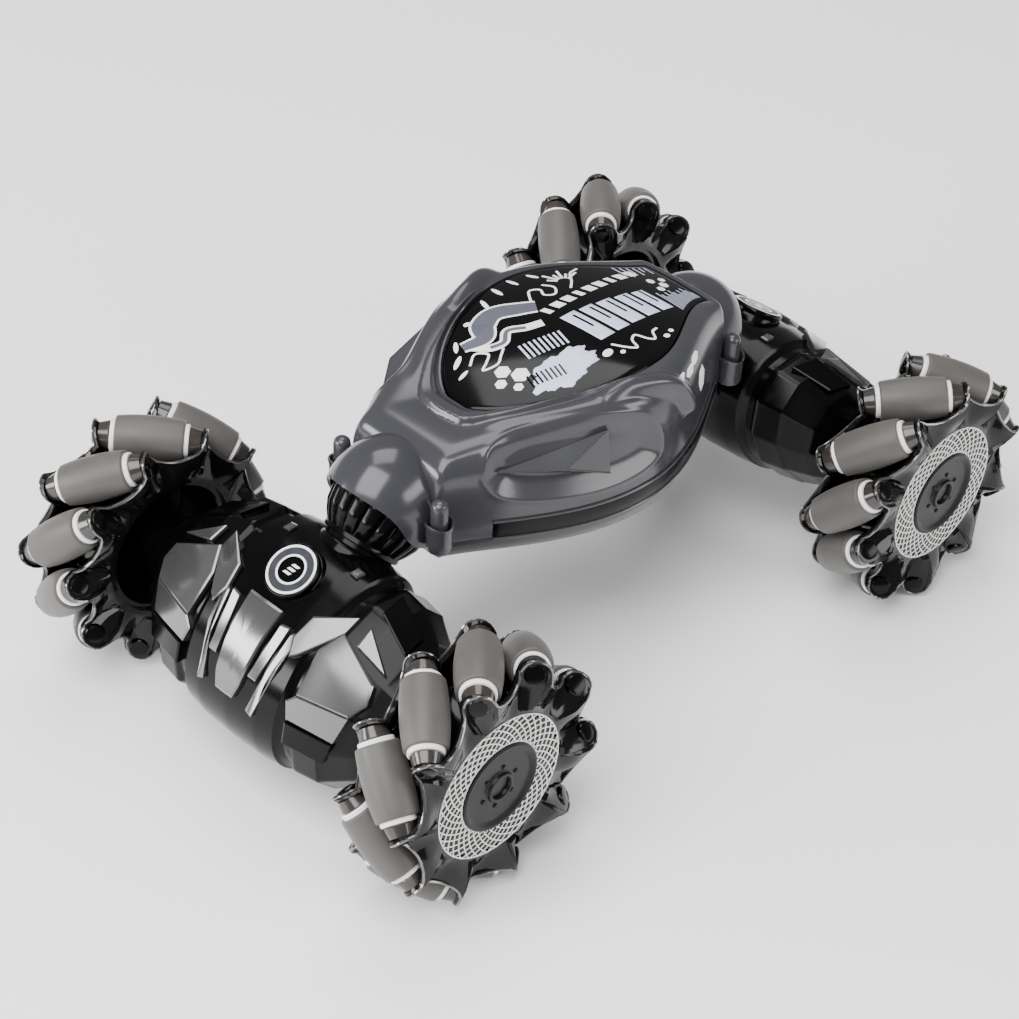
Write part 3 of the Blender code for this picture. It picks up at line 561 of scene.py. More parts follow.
def housingParts():
    # The shell over all angles and distances, the raised column, and the facets of one half and their mirror.
    ys = np.unique(np.concatenate([housingStations[:, 0], np.arange(0, 56, 1.0)]))
    ys = np.concatenate([-ys[::-1][:-1], ys])
    degrees = np.linspace(-180, 180, 181)[:-1]
    shell = gridPart(housingPoint(ys[:, None], degrees[None, :]), blackAbs, closeColumns=True,
                     caps=(True, True))
    # facets other than the dark ones, and the raised column below, take the grey base colour that paints the
    # sheen
    half = [facetPart(housingPoint, corners, np.array(lift), blackAbs if name in darkFacets else blackAbsPaintedSheen)
            for name, (corners, lift) in facets.items()]
    column = padPart(housingPoint, columnOutline, 1.7, blackAbsPaintedSheen, (1, 0.48), bevel=0.7)
    neck = turnedPart([(55.0, 13.5), (60.5, 12.5), (61.2, 11.5), (61.2, 4.2)], blackAbs,
                      axisPlace(axleOrigin, (0, 1, 0)), 48)
    half.append(neck)
    return [shell, column] + half + mirrored(half)


def drumParts():
    # The bowl: a turned profile cut by flutes that run from the rim to the collar, then the collar's rings.
    place = twistPlace(1, np.array([ballSizes["x"], 0.0, ballSizes["z"]]))
    heights = np.concatenate([[-5.0, -4.0], np.linspace(-2.0, 14.0, 22)])
    radius = np.interp(heights, [-5, -4, 0, 3.5, 8.5, 12, 14], [15.0, 15.6, 17.2, 17.2, 16.4, 14.6, 13.2])
    angles = np.linspace(0, math.tau, 17 * 12, endpoint=False)
    wave = np.abs(np.sin(angles * 17 / 2)) ** 0.5
    depth = np.interp(heights, [-5, -3, 0, 11, 14], [0, 0.3, 1.5, 1.3, 0.4])
    radii = radius[:, None] - depth[:, None] * (1 - wave)[None, :]
    local = np.stack([radii * np.cos(angles), radii * np.sin(angles),
                      np.repeat(heights[:, None], len(angles), 1)], -1)
    parts = [gridPart(placed(local, place), blackAbs, closeColumns=True, caps=(True, False))]
    collar = [(13.6, 12.9), (14.2, 13.3), (15.4, 13.3), (15.8, 12.8), (15.8, 12.0), (17.2, 12.0),
              (17.6, 12.6), (18.6, 13.0),
              (20.5, 13.4)]
    parts.append(turnedPart(collar, blackAbs, place, 64, caps=(False, False)))
    return parts


front = {"housing": housingParts(), "drum": drumParts(), "badge": badgeParts()}
for endName, end in ends.items():
    flipped = (lambda parts: parts) if end > 0 else (lambda parts: mirrored(parts, (-1, 1, 1)))
    body = f"{endName}_module"
    makePiece(f"{endName}_axle_housing", flipped(front["housing"]), body,
              [f"{endName}_housing_inner", f"{endName}_housing_outer"], 25.0)
    makePiece(f"{endName}_badge", flipped(front["badge"]), body)
    makePiece(f"{endName}_joint_drum", flipped(front["drum"]), body, [f"{endName}_drum"],
              50.0)
print("axle modules made")


# Body: dome, tub, lid with its prints, side strips, hoods and clips.

bodySizes = {"halfLength": 66.5, "endWidth": 20.0, "halfWidth": 47.5, "belt": 77.5, "split": 71.0}
panelSizes = {"front": 38.7, "widest": -13.0, "tail": -62.0, "halfWidth": 33.0, "tailWidth": 14.0,
              "nose": 4.0,
              "top": 112.5, "gap": 0.6, "fall": 9.7, "fallLength": 51.7, "sideFall": 3.0}


def bodyWidth(x):
    # Half width of the body's plan outline: it swells from the blunt ends to the middle.
    return bodySizes["endWidth"] + (bodySizes["halfWidth"] - bodySizes["endWidth"]) \
        * np.maximum(0, 1 - (x / bodySizes["halfLength"]) ** 2) ** 1.4


def panelWidth(x):
    # Half width of the lid: a rounded nose ahead of the widest place, and a cosine waist behind it.
    ahead = np.clip((x - panelSizes["widest"]) / (panelSizes["front"] - panelSizes["widest"]), 0, 1)
    nose = panelSizes["nose"] + (panelSizes["halfWidth"] - panelSizes["nose"]) * (1 - ahead ** 2) ** 0.72
    behind = np.clip((panelSizes["widest"] - x) / (panelSizes["widest"] - panelSizes["tail"]), 0, 1) ** 1.1
    waist = 0.5 + 0.5 * np.cos(math.pi * behind)
    tail = panelSizes["tailWidth"] + (panelSizes["halfWidth"] - panelSizes["tailWidth"]) * waist
    return np.where(x > panelSizes["widest"], nose, tail)


def planOutline(width, front, tail, sidePoints=170, endPoints=24, softening=40):
    # A closed plan outline, counter-clockwise from the middle of the front, with its corners softened by
    # averaging each point with its neighbours.
    turn = np.linspace(0, math.pi, sidePoints)
    xs = (front + tail) / 2 + (front - tail) / 2 * np.cos(turn)
    left = np.stack([xs, width(xs)], -1)
    rise = np.linspace(0, 1, endPoints, endpoint=False)[:, None]
    noseLine = np.hstack([np.full((endPoints, 1), front), rise * width(np.array(front))])
    tailLine = np.hstack([np.full((endPoints, 1), tail), (1 - rise) * width(np.array(tail))])
    half = np.vstack([noseLine, left[:-1], tailLine])
    other = half[1:][::-1] * np.array([1, -1])
    points = np.vstack([half, [[tail, 0.0]], other])
    for _ in range(softening):
        points = points * 0.5 + (np.roll(points, 1, 0) + np.roll(points, -1, 0)) * 0.25
    return points


bodyPlan = planOutline(bodyWidth, bodySizes["halfLength"], -bodySizes["halfLength"], softening=90)
panelPlan = planOutline(panelWidth, panelSizes["front"], panelSizes["tail"])


def panelHeight(plan):
    # The lid's crown: highest at its widest place, falling along the car and a little across it.
    along = (plan[..., 0] - panelSizes["widest"]) / panelSizes["fallLength"]
    across = plan[..., 1] / panelSizes["halfWidth"]
    return panelSizes["top"] - panelSizes["fall"] * along ** 2 - panelSizes["sideFall"] * across ** 2


def outlineNormals(plan):
    # Unit normals of a closed plan outline, pointing out.
    ahead = np.roll(plan, -1, 0) - np.roll(plan, 1, 0)
    normals = np.stack([ahead[:, 1], -ahead[:, 0]], -1)
    return normals / np.linalg.norm(normals, axis=1, keepdims=True)


def insetPlan(plan, distance):
    # The outline moved inwards along its normals.
    return plan - outlineNormals(plan) * distance


def domePoints(shares):
    # The dome: each ring of the plan moves from the belt's outline to the lid's edge while it rises, on a
    # squared-off quarter turn.
    turn = shares[:, None] * math.pi / 2
    fullness = 0.74 - 0.3 * (np.abs(bodyPlan[:, 0]) / bodySizes["halfLength"]) ** 3
    spread = 1 - np.maximum(0, np.cos(turn)) ** fullness
    rise = np.sin(turn) ** fullness
    edge = insetPlan(panelPlan, -panelSizes["gap"])
    plan = bodyPlan + (edge - bodyPlan) * spread[..., None]
    heights = bodySizes["belt"] + (panelHeight(panelPlan) - bodySizes["belt"]) * rise
    return np.concatenate([plan, heights[..., None]], -1)


def gridNormals(points):
    # Unit normals of a closed grid of points, from the differences of its neighbours.
    ahead = np.roll(points, -1, 1) - np.roll(points, 1, 1)
    up = np.gradient(points, axis=0)
    normals = np.cross(ahead, up)
    return normals / np.maximum(1e-9, np.linalg.norm(normals, axis=-1, keepdims=True))


def sideShare():
    # For each point of the outline: 0 at the front corner, 1 at the rear one, and the side it lies on.
    t = np.arccos(np.clip(bodyPlan[:, 0] / bodySizes["halfLength"], -1, 1)) / math.pi
    return t, np.where(bodyPlan[:, 1] >= 0, 1, -1)


def nearLine(here, line):
    # Distance in millimetres from each point to a polyline in space.
    best = np.full(here.shape[:-1], 1e9)
    for a, b in zip(line[:-1], line[1:]):
        along = b - a
        share = np.clip(((here - a) @ along) / max(1e-9, along @ along), 0, 1)
        best = np.minimum(best, np.linalg.norm(here - a - share[..., None] * along, axis=-1))
    return best


def insideOutline(t, v, outline):
    # Even-odd rule: crossings of the outline's edges by a ray from each point.
    outline = np.asarray(outline, float)
    t, v = np.broadcast_arrays(t, v)
    inside = np.zeros(t.shape, bool)
    for (t0, v0), (t1, v1) in zip(outline, np.roll(outline, -1, 0)):
        if v0 != v1:
            crosses = ((v0 > v) != (v1 > v)) & (t < (t1 - t0) * (v - v0) / (v1 - v0) + t0)
            inside ^= crosses
    return inside


def smoothLine(line, steps=10):
    # A Catmull-Rom curve through the given points.
    line = np.asarray(line, float)
    padded = np.vstack([2 * line[0] - line[1], line, 2 * line[-1] - line[-2]])
    share = np.linspace(0, 1, steps, endpoint=False)[:, None]
    out = []
    for a, b, c, d in zip(padded[:-3], padded[1:-2], padded[2:-1], padded[3:]):
        out.append(0.5 * ((2 * b) + (c - a) * share + (2 * a - 5 * b + 4 * c - d) * share ** 2
                          + (3 * b - a - 3 * c + d) * share ** 3))
    return np.vstack(out + [line[-1:]])


podOutline = smoothLine([(0.195, 0.40), (0.196, 0.66), (0.241, 0.80), (0.363, 0.76), (0.464, 0.59),
                         (0.512, 0.38),
                         (0.532, 0.18), (0.515, 0.075), (0.40, 0.05), (0.255, 0.085), (0.208, 0.21),
                         (0.195, 0.40)])
finLine = smoothLine([(0.40, 0.93), (0.455, 0.90), (0.505, 0.80), (0.55, 0.66), (0.583, 0.48),
                      (0.605, 0.30)])
creaseLine = smoothLine([(0.14, 0.94), (0.261, 0.92), (0.409, 0.81), (0.471, 0.67), (0.535, 0.45),
                         (0.571, 0.25)])
reliefSizes = {"pod": 3.6, "podWall": 8.0, "podLip": 0.25, "collar": 2.3, "fin": 3.6, "finHalf": 4.6,
               "crease": 0.8,
               "creaseAbove": 5.0, "creaseBelow": 2.2}
# the collar's width at places along the lid
collarWidths = {-14: 0.0, 3.4: 1.0, 20: 2.6, 34: 6.4, 38.7: 8.4}


fineShares = 1 - (1 - np.linspace(0, 1, 150) ** 1.5) ** 2.1


def gridReader(side, *fields):
    # A function of (t, v) that reads fields of the dome's grid on one side of the car.
    t, way = sideShare()
    columns = np.flatnonzero(way == side)
    columns = columns[np.argsort(t[columns])]

    def read(tWanted, vWanted):  # bilinear between the grid's four nearest points
        column = np.interp(tWanted, t[columns], np.arange(len(columns)))
        row = np.interp(vWanted, fineShares, np.arange(len(fineShares)))
        c0 = np.minimum(column.astype(int), len(columns) - 2)
        r0 = np.minimum(row.astype(int), len(fineShares) - 2)
        cf, rf = (column - c0)[:, None], (row - r0)[:, None]
        found = []
        for field in fields:
            part = field[:, columns]
            found.append((part[r0, c0] * (1 - cf) + part[r0, c0 + 1] * cf) * (1 - rf)
                         + (part[r0 + 1, c0] * (1 - cf) + part[r0 + 1, c0 + 1] * cf) * rf)
        return found
    return read


def domeRelief(rings):
    # Height of the body's relief: a dished pod, a collar round the lid, a fin behind it and a soft crease.
    size = reliefSizes
    t = sideShare()[0][None, :] + 0 * fineShares[:, None]
    v = fineShares[:, None] + 0 * t
    here = rings * np.array([1, np.nan, 1])
    here[..., 1] = np.abs(rings[..., 1])  # both sides are measured on the left one
    read = gridReader(1, rings)
    pod, fin, crest = (nearLine(here, read(line[:, 0], line[:, 1])[0])
                       for line in (podOutline, finLine, creaseLine))
    inPod = insideOutline(t, v, podOutline)
    relief = -size["pod"] * smoothStep(np.where(inPod, pod, 0), 0, size["podWall"]) ** 0.75
    relief += size["podLip"] * np.exp(-(pod / 1.0) ** 2)
    lidEdge = insetPlan(panelPlan, -panelSizes["gap"])
    fromLid = np.linalg.norm(rings[..., :2] - lidEdge, axis=-1)
    wide = np.interp(panelPlan[:, 0], list(collarWidths), list(collarWidths.values()))
    band = smoothStep(wide + 0.9 - fromLid, 0, 1.6)
    gutter = smoothStep(fromLid, 0.6, 0.6 + np.maximum(0.6, wide * 0.5))
    relief += size["collar"] * band * gutter * np.clip(wide, 0, 1)
    ridge = size["fin"] * (0.5 + 0.5 * np.cos(math.pi * np.clip(fin / size["finHalf"], 0, 1))) ** 0.8
    ridge *= smoothStep(t, 0.36, 0.46)
    above = v > np.interp(t, creaseLine[:, 0], creaseLine[:, 1])
    fade = np.where(above, size["creaseAbove"], size["creaseBelow"])
    reach = smoothStep(t, 0.10, 0.2) * (1 - smoothStep(t, 0.44, 0.54)) * (1 - band)
    relief += ridge + size["crease"] * np.exp(-(crest / fade) ** 2) * reach
    return relief


def domeGrid():
    # The dome's points and unit normals, with the relief laid on.
    rings = domePoints(fineShares)
    normals = gridNormals(rings)
    if normals[..., 2].mean() < 0:
        normals = -normals
    return rings + normals * domeRelief(rings)[..., None], normals


domeSurface, domeNormals = domeGrid()


def domeAt(side):
    # A function of (t, v, lift) for points standing off the finished dome.
    read = gridReader(side, domeSurface, domeNormals)

    def look(t, v, lift):  # the surface's point plus its normal times the lift
        point, normal = read(t, v)
        return point + normal * np.reshape(np.broadcast_to(lift, len(t)), (-1, 1))
    return look


wedge = {"tip": (0.231, 0.29), "top": (0.421, 0.50), "low": (0.431, 0.12), "ridge": (0.345, 0.28),
         "height": 5.6}
hexagons = [((0.657, 0.60), 3.2, 1.0), ((0.628, 0.55), 2.9, 1.0), ((0.594, 0.60), 1.9, 1.0),
            ((0.684, 0.30), 3.0, 1.7)]


def wedgePart(side):
    # A three-sided pyramid set in the pod: its tip forwards, a light upper face and a steep rear one.
    look = domeAt(side)
    base = np.array([wedge["tip"], wedge["top"], wedge["low"]])
    foot = look(base[:, 0], base[:, 1], -1.0)
    rim = look(base[:, 0], base[:, 1], np.array([0.6, 1.3, 0.6]))
    ridge = np.array([wedge["ridge"]])
    peak = np.repeat(look(ridge[:, 0], ridge[:, 1], wedge["height"]), 3, 0)
    top = peak + (rim - peak) * 0.02
    parts = [gridPart(np.stack([foot, rim, top]), greyAbs, closeColumns=True, caps=(True, True),
                      smooth=False)]
    for corner in rim:  # the rounded edges, which take the bright lines
        parts.append(tubePart(peak[0] + (corner - peak[0]) * np.linspace(0, 1, 6)[:, None], 0.22, greyAbs,
                              6))
    return parts


def hexOutline(middle, radius, stretch, scale):
    # Six corners on an ellipse, in the units of the surface that it is laid on.
    turn = np.radians(np.arange(6) * 60 + 10)
    corners = np.stack([np.cos(turn) * radius, np.sin(turn) * radius * stretch], -1)
    return np.array(middle) + corners / np.array(scale)


def domeParts():
    # The upper shell: lining, skirt, the dome with its relief and the drop to the lid's seat, then the wedges
    # and the printed hexagons of both flanks.
    def ring(inset, rise):  # the body's outline drawn in, at a height above the split
        return np.column_stack([insetPlan(bodyPlan, inset), np.full(len(bodyPlan), bodySizes["split"]
                                                                    + rise)])
    skirt = np.stack([ring(0.6, 0), ring(0.15, 1.2)])
    lining = np.stack([ring(2.4, 3), ring(2.6, 0)])
    drop = domeSurface[-1] - np.array([0, 0, 2.6])
    inner = np.column_stack([insetPlan(panelPlan, 3.0), panelHeight(insetPlan(panelPlan, 3.0)) - 2.6])
    points = np.concatenate([lining, skirt, domeSurface, drop[None], inner[None]])
    parts = [gridPart(points, greyAbs, closeColumns=True)]
    scale = (165.0, 46.0)
    for side in (1, -1):
        parts += wedgePart(side)
        for middle, radius, stretch in hexagons:
            outline = hexOutline(middle, radius, stretch, scale)
            parts.append(padPart(domeAt(side), outline, 0.12, whiteInk, scale, bevel=0.05, sink=0.05,
                                 stepMm=0.8))
    return parts


def sideStripParts():
    # The dark band round each flank with its thin bright edge, a little proud of the shell.
    t, side = sideShare()
    parts = []
    for way in (1, -1):
        columns = np.flatnonzero((side == way) & (t > 0.225) & (t < 0.86))
        plan, normal = bodyPlan[columns], outlineNormals(bodyPlan)[columns]
        taper = np.sin(np.linspace(0, math.pi, len(columns))) ** 0.08
        rows = []
        for out, z in ((-0.8, 71.2), (0.25, 71.3), (0.5, 71.8), (0.5, 76.8), (0.25, 77.3), (-0.8, 77.4)):
            rows.append(np.column_stack([plan + normal * (out * taper)[:, None], np.full(len(columns), z)]))
        parts.append(gridPart(np.stack(rows), blackStrip, closeRows=True, caps=(False, False)))
        for z in (71.1, 77.6):
            path = np.column_stack([plan + normal * 0.35, np.full(len(columns), z)])
            parts.append(tubePart(path, 0.42, greyAbs, 6))
    return parts


def panelParts():
    # The lid: rings of its outline drawn in to the middle, on the crown, with a rounded edge.
    rows = []
    for inset, fall in ((0.5, 2.2), (0.0, 1.6), (0.0, 0.9), (0.15, 0.45), (0.5, 0.15), (1.1, 0.0)):
        plan = insetPlan(panelPlan, inset)
        rows.append(np.column_stack([plan, panelHeight(plan) - fall]))
    outer = insetPlan(panelPlan, 1.1)
    spine = np.column_stack([np.clip(outer[:, 0], panelSizes["tail"] + 16, panelSizes["front"] - 14),
                             np.zeros(len(outer))])
    for share in np.linspace(0, 1, 24)[1:]:
        plan = outer + (spine - outer) * share * 0.999
        rows.append(np.column_stack([plan, panelHeight(plan)]))
    return [gridPart(np.stack(rows), lidAcrylic, closeColumns=True)]


def lidAt(x, y, lift):
    # A point of the lid's crown, standing off it.
    plan = np.stack([x, y], -1)
    return np.column_stack([plan, panelHeight(plan) + lift])


def ellipseOutline(x, y, along, across, degrees, count=18):
    # A turned ellipse round x, y.
    turn = np.linspace(0, math.tau, count, endpoint=False)
    c, s = math.cos(math.radians(degrees)), math.sin(math.radians(degrees))
    u, v = along * np.cos(turn), across * np.sin(turn)
    return np.stack([x + u * c - v * s, y + u * s + v * c], -1)


def ribbonOutline(line, wide):
    # A closed outline of a stroke of the given width along a line.
    line = np.asarray(line, float)
    ahead = np.gradient(line, axis=0)
    ahead /= np.linalg.norm(ahead, axis=1, keepdims=True)
    half = np.reshape(np.broadcast_to(wide, len(line)), (-1, 1)) / 2
    side = np.stack([-ahead[:, 1], ahead[:, 0]], -1) * half
    return line + side, line - side


def strokePart(line, wide, lift, material, steps=8):
    # A printed stroke: a thin strip laid on the lid, four points across.
    left, right = ribbonOutline(smoothLine(line, steps), wide)
    rows = [lidAt(left[:, 0], left[:, 1], -0.03), lidAt(left[:, 0], left[:, 1], lift),
            lidAt(right[:, 0], right[:, 1], lift), lidAt(right[:, 0], right[:, 1], -0.03)]
    return gridPart(np.stack(rows), material, closeRows=True)


def blockPart(x, y, length, wide, slant, lift, material):
    # A printed slanted block, its middle at x, y.
    corners = np.array([(-length / 2 + slant, -wide / 2), (length / 2 + slant, -wide / 2),
                        (length / 2 - slant, wide / 2), (-length / 2 - slant, wide / 2)]) + (x, y)
    return padPart(lidAt, corners, lift, material, bevel=0.04, sink=0.03, stepMm=2.5)


prints = {
    # big slanted blocks: place along the lid, length and gap cut into one end
    "blocks": [(-12.0, 6.4), (-19.6, 5.6), (-27.0, 6.2), (-34.6, 5.8), (-41.6, 5.0)],
    "dashes": [(-8.0 - 5.2 * k, 3.6 if k % 3 else 2.2) for k in range(9)],
    "hexagons": [(22.3, 2.9, 2.7), (19.6, 8.2, 3.1), (26.2, 6.2, 2.0), (23.6, 11.4, 1.7),
                 (-52.0, -2.5, 1.6),
                 (-54.6, 1.2, 1.8), (-51.0, 3.2, 1.5), (-57.2, -2.2, 1.4)],
    "droplets": [(27.6, -12.0, 3.0, 0.9, 28), (23.0, -17.6, 2.7, 0.8, 50), (30.4, -6.4, 2.2, 0.7, 8),
                 (2.0, -26.0, 3.2, 0.8, 70),
                 (-6.0, -28.5, 3.0, 0.8, 84), (-13.5, -29.0, 2.6, 0.7, 96), (-6.7, 20.8, 2.2, 1.4, 10),
                 (-29.5, 25.4, 1.3, 0.9, 0),
                 (-21.0, -27.2, 2.4, 0.7, 110), (13.0, -23.0, 1.2, 1.0, 0), (-33.0, 24.0, 1.0, 0.8, 0),
                 (-11.0, 23.4, 1.0, 0.8, 0)],
    "drips": [
        [(26.5, -7.5), (22.0, -10.0), (19.5, -6.5), (22.5, -4.2), (25.4, -2.6), (21.0, -0.8), (17.4, -2.8),
         (14.6, -4.6)],
        [(-8.0, -14.5), (-10.5, -18.2), (-13.0, -20.6), (-15.8, -18.6), (-14.4, -15.2), (-17.4, -13.2),
         (-20.4, -16.6), (-18.6, -20.6)],
        [(-10.5, 18.6), (-13.6, 22.6), (-16.4, 24.6), (-17.6, 21.2), (-20.4, 19.8), (-22.6, 23.2),
         (-24.8, 24.6), (-26.8, 21.6),
         (-29.6, 20.8)],
        [(-24.0, -12.5), (-28.0, -16.0), (-32.0, -20.5), (-36.6, -21.8)],
    ],
}


def printParts():
    # The lid's decoration: splashes, hatching, slanted blocks and stripes, all abstract.
    parts = []
    for k, (x, length) in enumerate(prints["blocks"]):
        parts.append(blockPart(x, 6.6 + 0.28 * k, length, 17.0 - 1.0 * k, 0.8, 0.07, paleInk))
        parts.append(blockPart(x - 0.6, 4.2 + 0.28 * k, 1.0, 8.6, 0.4, 0.1, lidAcrylic))
    for x, length in prints["dashes"]:
        parts.append(blockPart(x, -7.2 + 0.05 * x, length, 3.6, 0.5, 0.07, whiteInk))
    # the splash: a pale cloud at the near front, a slate sweep with a white rim at the far front
    turn = np.linspace(0, math.tau, 72, endpoint=False)
    ragged = 1 + 0.09 * np.sin(5 * turn + 1) + 0.07 * np.sin(11 * turn) + 0.04 * np.sin(23 * turn + 2)
    cloud = np.stack([8.6 + 12.4 * ragged * np.cos(turn), 16.4 + 6.6 * ragged * np.sin(turn)], -1)
    parts.append(padPart(lidAt, cloud, 0.06, paleInk, bevel=0.04, sink=0.03, stepMm=4))
    sweep = smoothLine([(22.0, -15.5), (15.0, -13.2), (10.5, -18.2), (4.0, -19.8), (-3.0, -15.2),
                        (-7.5, -12.0)])
    wide = np.interp(np.arange(len(sweep)), [0, len(sweep) * 0.4, len(sweep) - 1], [3.4, 7.6, 5.0])
    for grow, lift, ink in ((1.7, 0.05, whiteInk), (0.0, 0.09, greyInk)):
        left, right = ribbonOutline(sweep, wide + grow)
        rows = [lidAt(a[:, 0], a[:, 1], z) for a, z in ((left, -0.03), (left, lift), (right, lift),
                                                        (right, -0.03))]
        parts.append(gridPart(np.stack(rows), ink, closeRows=True))
    hook = [(20.0, -13.0), (17.0, -8.0), (12.5, -6.5), (8.0, -9.6), (3.0, -6.2), (-2.5, -4.0)]
    parts.append(strokePart(hook, 3.4, 0.06, whiteInk))
    parts.append(strokePart(hook[1:5], 1.5, 0.1, greyInk))
    for k in range(9):  # hatching in two blocks
        parts.append(strokePart([(11.0 - 1.7 * k, -1.4 + 0.5 * k), (12.8 - 1.7 * k, 5.6 + 0.45 * k)], 0.75,
                                0.07, paleInk, 2))
    for k in range(8):
        parts.append(strokePart([(19.0 - 1.5 * k, 10.2 + 0.55 * k), (20.4 - 1.5 * k, 15.0 + 0.55 * k)], 0.7,
                                0.11, lidAcrylic, 2))
    for x, y, radius in prints["hexagons"]:
        parts.append(padPart(lidAt, hexOutline((x, y), radius, 1.0, (1, 1)), 0.07, whiteInk, bevel=0.04,
                             sink=0.03))
    for x, y, along, across, degrees in prints["droplets"]:
        parts.append(padPart(lidAt, ellipseOutline(x, y, along, across, degrees), 0.07, whiteInk,
                             bevel=0.04, sink=0.03))
    for line in prints["drips"]:
        parts.append(strokePart(line, 0.8, 0.07, whiteInk))
    for k in range(13):  # stripes across the tail
        x = -46.5 - 1.15 * k
        reach = float(panelWidth(np.array(x))) - 2.2
        start = 5.0 + 4.0 * ((k * 7) % 5) / 5
        parts.append(strokePart([(x, start), (x - 0.6, reach)], 0.45, 0.07, paleInk, 2))
        if k % 2:
            parts.append(strokePart([(x, -reach), (x + 0.4, -6.0 - (k * 3) % 4)], 0.5, 0.07, paleInk, 2))
    for k in range(6):  # rays at the far side
        angle = math.radians(200 + 22 * k)
        start = np.array([-26.0, -17.0])
        ray = start + np.outer([2.5, 8.5 - (k % 2) * 2.5], [math.cos(angle), math.sin(angle)])
        ray[:, 1] = np.maximum(ray[:, 1], -26.5)
        parts.append(strokePart(ray, 0.9, 0.07, whiteInk, 2))
    return parts


def tubParts():
    # The tub: the body's outline drawn in over a rounded bilge to the flat belly.
    rows = []
    for inset, z in ((2.6, 70.8), (0.7, 70.8), (0.5, 70.4), (0.5, 69.0), (1.0, 67.0), (2.0, 65.0),
                     (3.6, 63.6), (6.0, 62.8),
                     (9.0, 62.5), (12.0, 62.5)):
        rows.append(np.column_stack([insetPlan(bodyPlan, inset), np.full(len(bodyPlan), z)]))
    return [gridPart(np.stack(rows), greyAbs, closeColumns=True, caps=(False, True))]


clipSizes = {"x": 67.5, "y": 22.3}


def clipParts(end, side):
    # The hood's side clip: a flared sleeve of the tub round a domed post of the upper shell.
    place = axisPlace((end * clipSizes["x"], side * clipSizes["y"], 0.0), (0, 0, 1), (end, 0, 0))
    angles = np.linspace(0, math.tau, 40, endpoint=False)
    profile = [(73.0, 2.4), (72.8, 3.8), (73.2, 4.1), (77.0, 4.2), (81.0, 4.3), (82.6, 4.7), (83.1, 4.5),
               (82.8, 4.0), (80.0, 3.4),
               (75.0, 3.3)]
    sleeve = np.array(profile)
    wave = 0.7 * np.cos(2 * angles) * smoothStep(sleeve[:, 0], 78, 82.5)[:, None]
    radius = np.repeat(sleeve[:, 1:2], 40, 1)
    local = np.stack([radius * np.cos(angles), radius * np.sin(angles), sleeve[:, 0:1] + wave], -1)
    parts = [gridPart(placed(local, place), greyAbs, closeColumns=True, caps=(True, True))]
    post = [(74.0, 2.6), (75.0, 2.9), (88.6, 2.85), (90.0, 2.5), (90.8, 1.7), (91.1, 0.5)]
    parts.append(turnedPart(post, greyAbs, place, 28))
    return parts


def hoodParts(end):
    # A hood: the ball's outer shell down to a rim that dips at its two sides, with its wall and lining.
    place = twistPlace(end, np.array([end * ballSizes["x"], 0.0, ballSizes["z"]]))
    turn = np.linspace(0, math.tau, 97)[:-1]
    rim = 2.5 + 4.5 * np.abs(np.sin(turn)) ** 8
    rows = []
    for half, insets in ((ballSizes["outer"], np.linspace(-0.999, 0, 30)),
                         (ballSizes["inner"], np.linspace(0, -0.999, 20))):
        for share in insets:
            depth = rim + (half[0] + rim) * share  # from the rim back to the pole
            wide = np.sqrt(np.maximum(0, 1 - (depth / half[0]) ** 2))
            rows.append(np.stack([half[0] * wide * np.cos(turn), half[1] * wide * np.sin(turn), depth], -1))
    return [gridPart(placed(np.stack(rows), place), greyAbs, closeColumns=True, caps=(True, True))]


makePiece("body_dome", domeParts(), "chassis", ["upper_shell"])
makePiece("body_tub", tubParts(), "chassis", ["lower_shell"])
makePiece("body_side_strips", sideStripParts(), "chassis")
makePiece("lid_panel", panelParts(), "chassis", ["top_panel"])
makePiece("lid_prints", printParts(), "chassis", sharp=80)
for endName, end in ends.items():
    makePiece(f"{endName}_hood", hoodParts(end), "chassis")
    makePiece(f"{endName}_hood_clips", clipParts(end, 1) + clipParts(end, -1), "chassis")
print("body made")

# the inner works keep their CAD shapes and take real finishes
innerFinishes = {"battery_pack": shrinkWrap, "circuit_board": solderMask, "twist_drive": gearNylon}
for endName in ends:
    for sideName in sides:
        innerFinishes[f"{endName}_{sideName}_motor"] = steelCan
for node, material in innerFinishes.items():
    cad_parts[node].data.materials.clear()
    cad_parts[node].data.materials.append(material)

# Stage, light and camera.

stageSizes = {"floor": 6.0, "worldStrength": 0.3}
cameraPlace = {
    "position": (0.51795, 0.48266, 0.59285),
    "right": (-0.71033, 0.70300, 0.03502), "up": (-0.41411, -0.45761, 0.78683), "lens": 94.54,
}


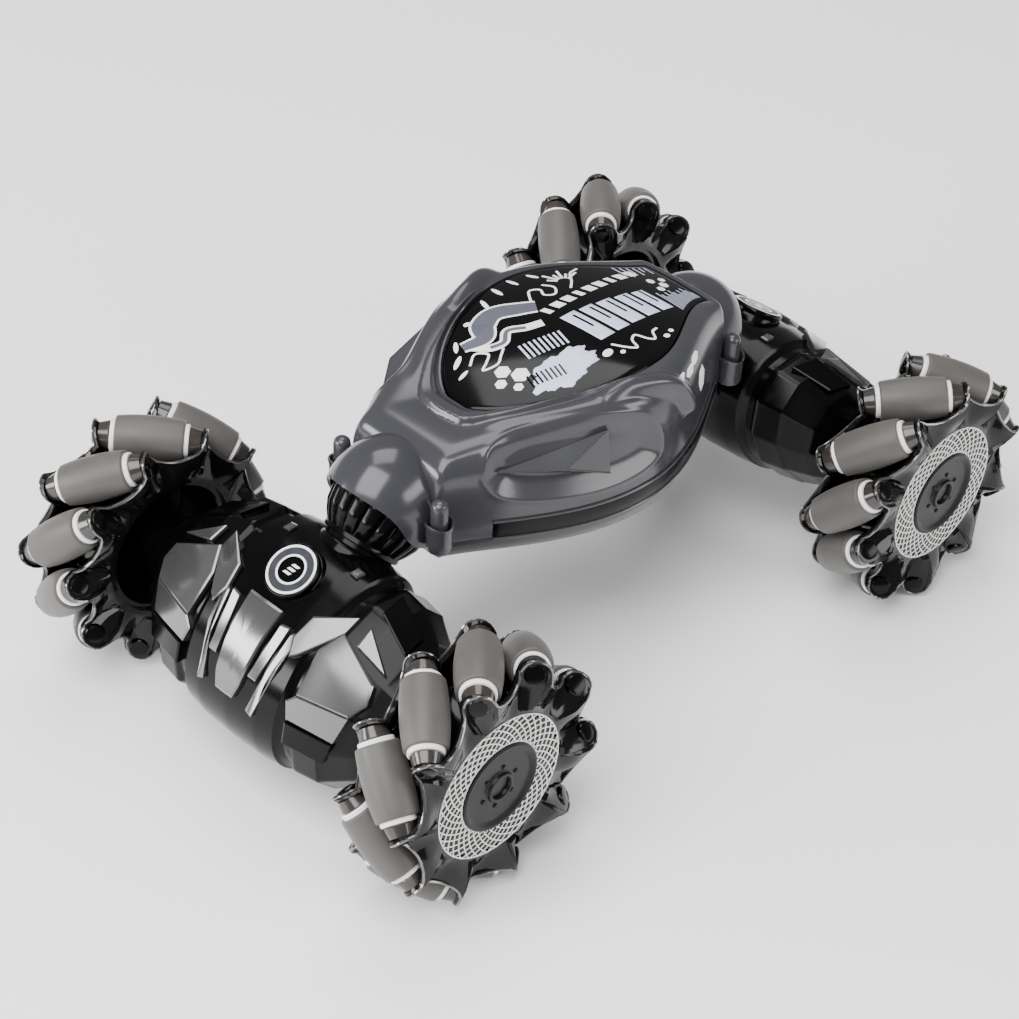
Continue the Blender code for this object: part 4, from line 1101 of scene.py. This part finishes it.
def makeStage():
    # A square of matt paper to stand on, and an even white world.
    mesh = bpy.data.meshes.new("floor")
    half = stageSizes["floor"] / 2
    mesh.from_pydata([(-half, -half, 0), (half, -half, 0), (half, half, 0), (-half, half, 0)], [],
                     [(0, 1, 2, 3)])
    floor = bpy.data.objects.new("floor", mesh)
    bpy.context.scene.collection.objects.link(floor)
    paper, _, _ = newMaterial("studioPaper", {"Base Color": linear("#ffffff"), "Roughness": 0.8})
    mesh.materials.append(paper)
    world = bpy.data.worlds.new("studio")
    bpy.context.scene.world = world
    world.use_nodes = True
    world.node_tree.nodes["Background"].inputs["Color"].default_value = linear("#ffffff")
    world.node_tree.nodes["Background"].inputs["Strength"].default_value = stageSizes["worldStrength"]


def addLight(name, position, target, size, watts):
    # A rectangular soft box that looks at the target.
    light = bpy.data.lights.new(name, "AREA")
    light.shape = "RECTANGLE"
    light.size, light.size_y = size
    light.energy = watts
    lamp = bpy.data.objects.new(name, light)
    lamp.location = position
    lamp.rotation_euler = (Vector(target) - Vector(position)).to_track_quat("-Z", "Y").to_euler()
    bpy.context.scene.collection.objects.link(lamp)


def makeCamera():
    # A camera whose three axes are given: right, up, and backwards as their cross product.
    data = bpy.data.cameras.new("camera")
    data.lens = cameraPlace["lens"]
    data.clip_start, data.clip_end = 0.01, 50
    camera = bpy.data.objects.new("camera", data)
    right, up = Vector(cameraPlace["right"]), Vector(cameraPlace["up"])
    turn = Matrix((right, up, right.cross(up))).transposed().to_4x4()
    camera.matrix_world = Matrix.Translation(cameraPlace["position"]) @ turn
    bpy.context.scene.collection.objects.link(camera)
    bpy.context.scene.camera = camera


makeStage()
makeCamera()
addLight("overhead", (0.75, 0.15, 1.3), (0, 0, 0.05), (1.2, 1.2), 36)
addLight("front", (1.5, -0.7, 0.5), (0.1, 0, 0.04), (1.3, 0.45), 32)
addLight("leftRear", (-0.6, 1.5, 0.75), (0, 0, 0.08), (1.2, 0.5), 14)
addLight("back", (-0.5, -0.6, 2.0), (0, 0, 0), (1.2, 1.2), 22)
print("stage and camera set")
